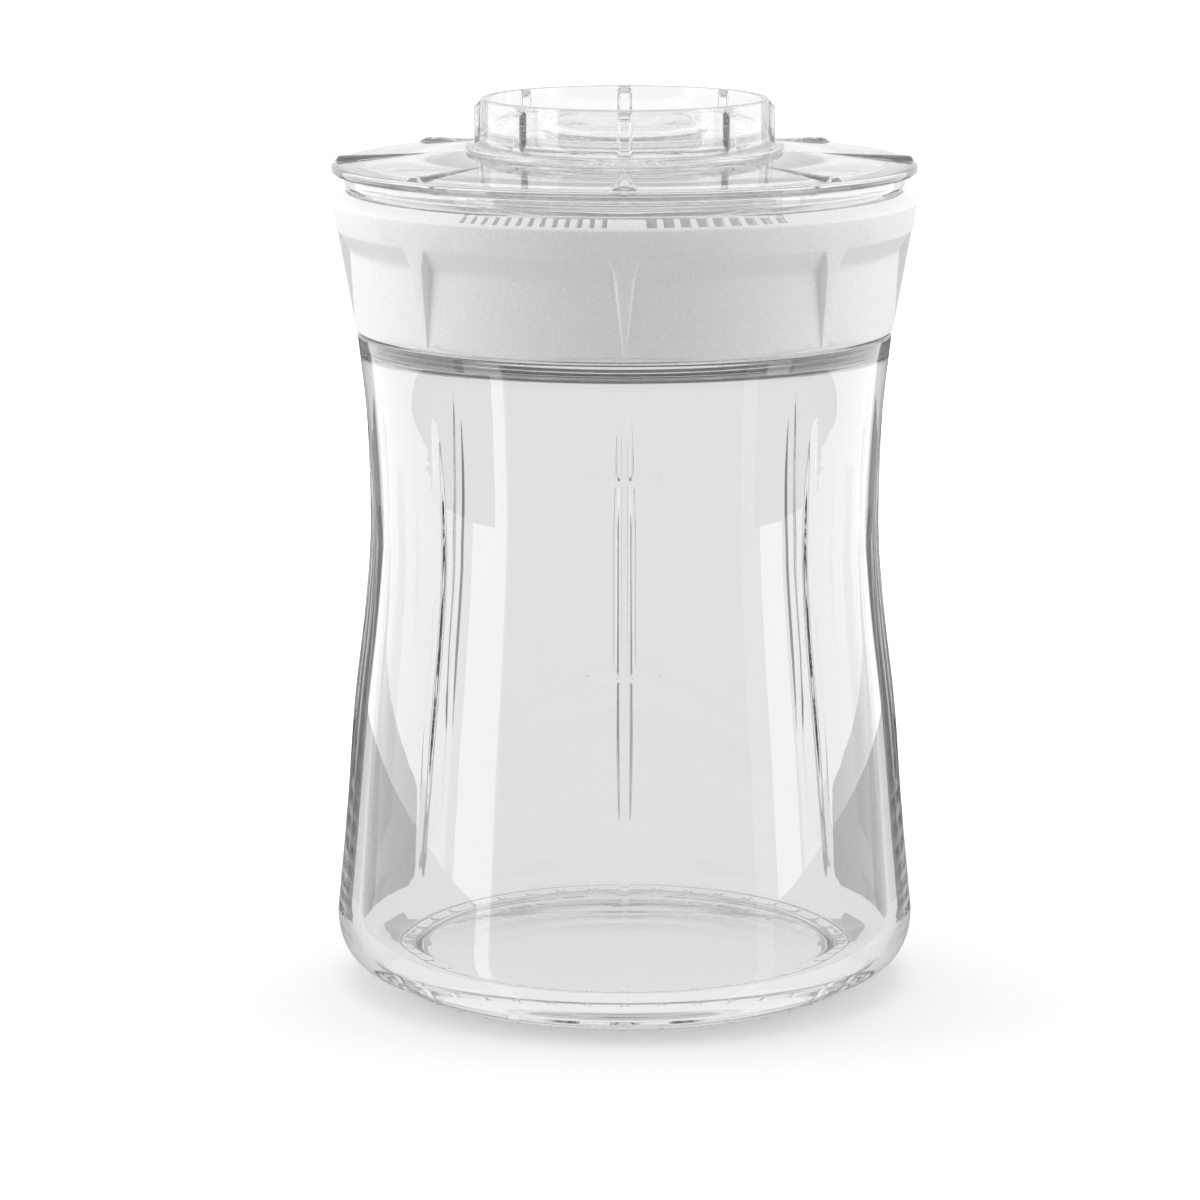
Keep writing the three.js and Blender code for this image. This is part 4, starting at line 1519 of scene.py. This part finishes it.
@dataclass(frozen=True)
class Card:
    """Upright curved card round the jar that only reflections or only refractions see.

    Attributes:
        name: Name of the card.
        start: Angle of its end nearer the front, in degrees from the front.
        end: Angle of its other end.
        low: Lower edge in degrees over the horizon, as seen from the foot of the jar.
        high: Upper edge at the start, in degrees over the horizon.
        high_end: Upper edge at the other end.
        strength: Its brightness, where 1 is white.
        seen: The rays that meet it.
        distance: Its distance from the jar's axis in mm.
    """

    name: str
    start: float
    end: float
    low: float
    high: float
    high_end: float
    strength: float
    seen: Seen
    distance: float = 1500.0

    def build(self) -> None:
        """Builds the card and sets which rays see it."""
        angles = spaced(self.start, self.end, CARD_STEP)
        count = len(angles)
        shares = [index / (count - 1) for index in range(count)]
        edges = [self.low] * count + [blend_between(self.high, self.high_end, share) for share in shares]
        vertices = [
            polar(self.distance, angle, self.distance * math.tan(math.radians(level)))
            for angle, level in zip(angles * 2, edges)
        ]
        faces = [(index, index + 1, count + index + 1, count + index) for index in range(count - 1)]
        card = linked_object(self.name, vertices, faces)
        material = empty_material(f"{self.name}_cloth")
        light = add_node(material.node_tree, "ShaderNodeEmission", {"Strength": self.strength})
        add_node(material.node_tree, "ShaderNodeOutputMaterial", {"Surface": light.outputs["Emission"]})
        card.data.materials.append(material)
        card.visible_camera = False
        card.visible_diffuse = False
        card.visible_shadow = False
        card.visible_volume_scatter = False
        card.visible_glossy = self.seen is Seen.REFLECTED
        card.visible_transmission = self.seen is Seen.REFRACTED
        LOG.info("%s: %.0f degrees wide", self.name, abs(self.end - self.start))


@dataclass(frozen=True)
class Softbox:
    """Large soft lamp that lights the matt surfaces.

    Attributes:
        name: Name of the lamp.
        angle: Its angle in degrees from the front.
        elevation: Its angle over the horizon in degrees.
        distance: Its distance from the jar in mm.
        size: Its width and height in mm.
        power: Its power in watts.
    """

    name: str
    angle: float
    elevation: float
    distance: float
    size: float
    power: float

    def build(self, target: Vector) -> None:
        """Hangs the lamp and turns it to the jar."""
        lamp = bpy.data.lights.new(self.name, "AREA")
        lamp.shape = "SQUARE"
        lamp.size = self.size * MM
        lamp.energy = self.power
        holder = bpy.data.objects.new(self.name, lamp)
        bpy.context.scene.collection.objects.link(holder)
        level = math.radians(self.elevation)
        out = self.distance * math.cos(level)
        holder.location = Vector(polar(out, self.angle, self.distance * math.sin(level))) + target
        holder.rotation_euler = (target - holder.location).to_track_quat("-Z", "Y").to_euler()
        holder.visible_glossy = False
        holder.visible_transmission = False
        LOG.info("%s: %.1f W", self.name, self.power)


@dataclass
class Studio:
    """White sweep with soft lamps, reflection cards and the photograph's camera."""

    floor_half: float = 9000.0
    floor_colour: str = "#e8e8e8"
    floor_glow: float = 0.3
    floor_roughness: float = 0.9
    floor_white_from: float = 150.0
    floor_white_at: float = 600.0
    world_light: float = 0.62
    target_height: float = 76.24
    camera_distance: float = 1030.7
    camera_elevation: float = 10.56
    lens: float = 155.3
    sensor: float = 36.0
    shift: float = -0.0205
    light_bounces: int = 48
    softboxes: Sequence[Softbox] = (
        Softbox("left_softbox", -95.0, 12.0, 900.0, 800.0, 4.5),
        Softbox("right_softbox", 95.0, 12.0, 900.0, 800.0, 3.2),
        Softbox("top_softbox", 180.0, 75.0, 900.0, 800.0, 3.0),
    )
    front_cards: Sequence[Card] = (
        Card("front_card", -53.0, 53.0, -60.0, 75.0, 75.0, 0.3, Seen.REFLECTED),
        Card("left_strip", -54.0, -72.0, -24.0, 60.0, 60.0, 3.5, Seen.REFLECTED),
        Card("right_strip", 63.0, 75.0, -24.0, 60.0, 60.0, 3.5, Seen.REFLECTED),
    )

    def side_cards(self) -> list[Card]:
        """Cards that stand alike on both sides, where the flags darken the edges of the glass."""
        shown, through = Seen.REFLECTED, Seen.REFRACTED
        cards = []
        for name, side in (("left", -1.0), ("right", 1.0)):
            cards += [
                Card(f"{name}_panel", side * 74.0, side * 138.0, -1.0, 60.0, 60.0, 2.2, shown, 500.0),
                Card(f"{name}_skirt", side * 58.0, side * 172.0, -40.0, -1.0, -1.0, 0.35, shown, 505.0),
                Card(f"{name}_rear_card", side * 136.0, side * 171.0, -6.0, 18.0, 18.0, 0.2, shown, 300.0),
                Card(f"{name}_flag", side * 146.0, side * 158.0, -17.0, 5.0, 5.0, 0.2, through, 500.0),
                Card(f"{name}_low_flag", side * 158.0, side * 168.0, -17.0, -4.0, -10.0, 0.5, through, 500.0),
            ]
        return cards

    def build_floor(self) -> None:
        """Lays the white sweep, which keeps the jar's shadow."""
        reach = self.floor_half * MM
        corners = [(-reach, -reach, 0.0), (reach, -reach, 0.0), (reach, reach, 0.0), (-reach, reach, 0.0)]
        floor = linked_object("studio_floor", corners, [(0, 1, 2, 3)])
        material = empty_material("white_paper_sweep")
        tree = material.node_tree
        place = add_node(tree, "ShaderNodeTexCoord", {})
        away = add_node(tree, "ShaderNodeVectorMath", {}, operation="LENGTH")
        tree.links.new(place.outputs["Object"], away.inputs[0])
        glow = add_node(tree, "ShaderNodeMapRange", {
            "Value": away.outputs["Value"],
            "From Min": self.floor_white_from * MM,
            "From Max": self.floor_white_at * MM,
            "To Min": self.floor_glow,
            "To Max": 1.0,
        })
        close_material(tree, {
            "Base Color": linear_colour(self.floor_colour),
            "Roughness": self.floor_roughness,
            "Specular IOR Level": 0.0,
            "Emission Color": WHITE,
            "Emission Strength": glow.outputs["Result"],
        })
        floor.data.materials.append(material)
        floor.visible_glossy = False
        floor.visible_transmission = False
        floor.visible_diffuse = False

    def build_world(self) -> None:
        """Makes the world white for the camera and for clear pieces, and dimmer as a light."""
        world = bpy.data.worlds.new("white_studio")
        world.use_nodes = True
        tree = world.node_tree
        tree.nodes.clear()
        path = add_node(tree, "ShaderNodeLightPath", {})
        seen = add_node(tree, "ShaderNodeMath", {}, operation="MAXIMUM")
        tree.links.new(path.outputs["Is Camera Ray"], seen.inputs[0])
        tree.links.new(path.outputs["Is Glossy Ray"], seen.inputs[1])
        clear = add_node(tree, "ShaderNodeMath", {}, operation="MAXIMUM")
        tree.links.new(seen.outputs["Value"], clear.inputs[0])
        tree.links.new(path.outputs["Is Transmission Ray"], clear.inputs[1])
        strength = add_node(
            tree,
            "ShaderNodeMapRange",
            {"Value": clear.outputs["Value"], "To Min": self.world_light, "To Max": 1.0},
        )
        background = add_node(
            tree, "ShaderNodeBackground", {"Color": WHITE, "Strength": strength.outputs["Result"]},
        )
        add_node(tree, "ShaderNodeOutputWorld", {"Surface": background.outputs["Background"]})
        bpy.context.scene.world = world

    def build_camera(self) -> None:
        """Sets up the camera at the photograph's view."""
        lens = bpy.data.cameras.new("photo_camera")
        lens.sensor_width = self.sensor
        lens.lens = self.lens
        lens.shift_x = self.shift
        camera = bpy.data.objects.new("photo_camera", lens)
        bpy.context.scene.collection.objects.link(camera)
        level = math.radians(self.camera_elevation)
        out = self.camera_distance * math.cos(level)
        camera.location = polar(out, 0.0, self.target_height + self.camera_distance * math.sin(level))
        camera.rotation_euler = (math.radians(QUARTER_TURN - self.camera_elevation), 0.0, 0.0)
        bpy.context.scene.camera = camera

    def build(self) -> None:
        """Builds the whole studio."""
        self.build_camera()
        self.build_floor()
        self.build_world()
        target = Vector((0.0, 0.0, self.target_height * MM))
        for softbox in self.softboxes:
            softbox.build(target)
        for card in [*self.front_cards, *self.side_cards()]:
            card.build()
        scene = bpy.context.scene
        scene.cycles.max_bounces = self.light_bounces
        scene.cycles.transmission_bounces = self.light_bounces
        scene.cycles.glossy_bounces = self.light_bounces
        scene.view_settings.view_transform = "Standard"


def main() -> None:
    logging.basicConfig(level=logging.INFO, format="%(message)s")
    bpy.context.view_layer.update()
    Studio().build()
    glass, clear = PressedGlass(), ClearCopolyester()
    silicone = MouldedSilicone()
    jar = GlassJar(thread=Thread())
    collar = StrainerCollar(jar=jar)
    lid = MainLid(collar=collar)
    reamer = CitrusReamer(lid=lid)
    cap = MeasuringCap(lid=lid)
    jar.build(glass)
    SealRing(
        "neck_seal", collar.lip_outer + lid.side_gap, jar.neck_radius - lid.side_gap,
        jar.neck_top + collar.seal_gap, collar.seal_thickness,
    ).build(silicone)
    collar.build(MouldedPolypropylene())
    SealRing(
        "lid_seal", lid.spigot_outer + collar.seal_gap, lid.skirt_radius - collar.seal_gap,
        collar.deck_top + collar.seal_gap, lid.seal_thickness,
    ).build(silicone)
    lid.build(clear)
    reamer.build(clear)
    SealRing(
        "cap_seal", cap.plug_radius - cap.seal_depth + cap.seal_gap, lid.socket_radius - lid.side_gap,
        cap.groove_bottom + cap.seal_gap, cap.seal_thickness,
    ).build(silicone)
    cap.build(clear)


if __name__ == "__main__":
    main()
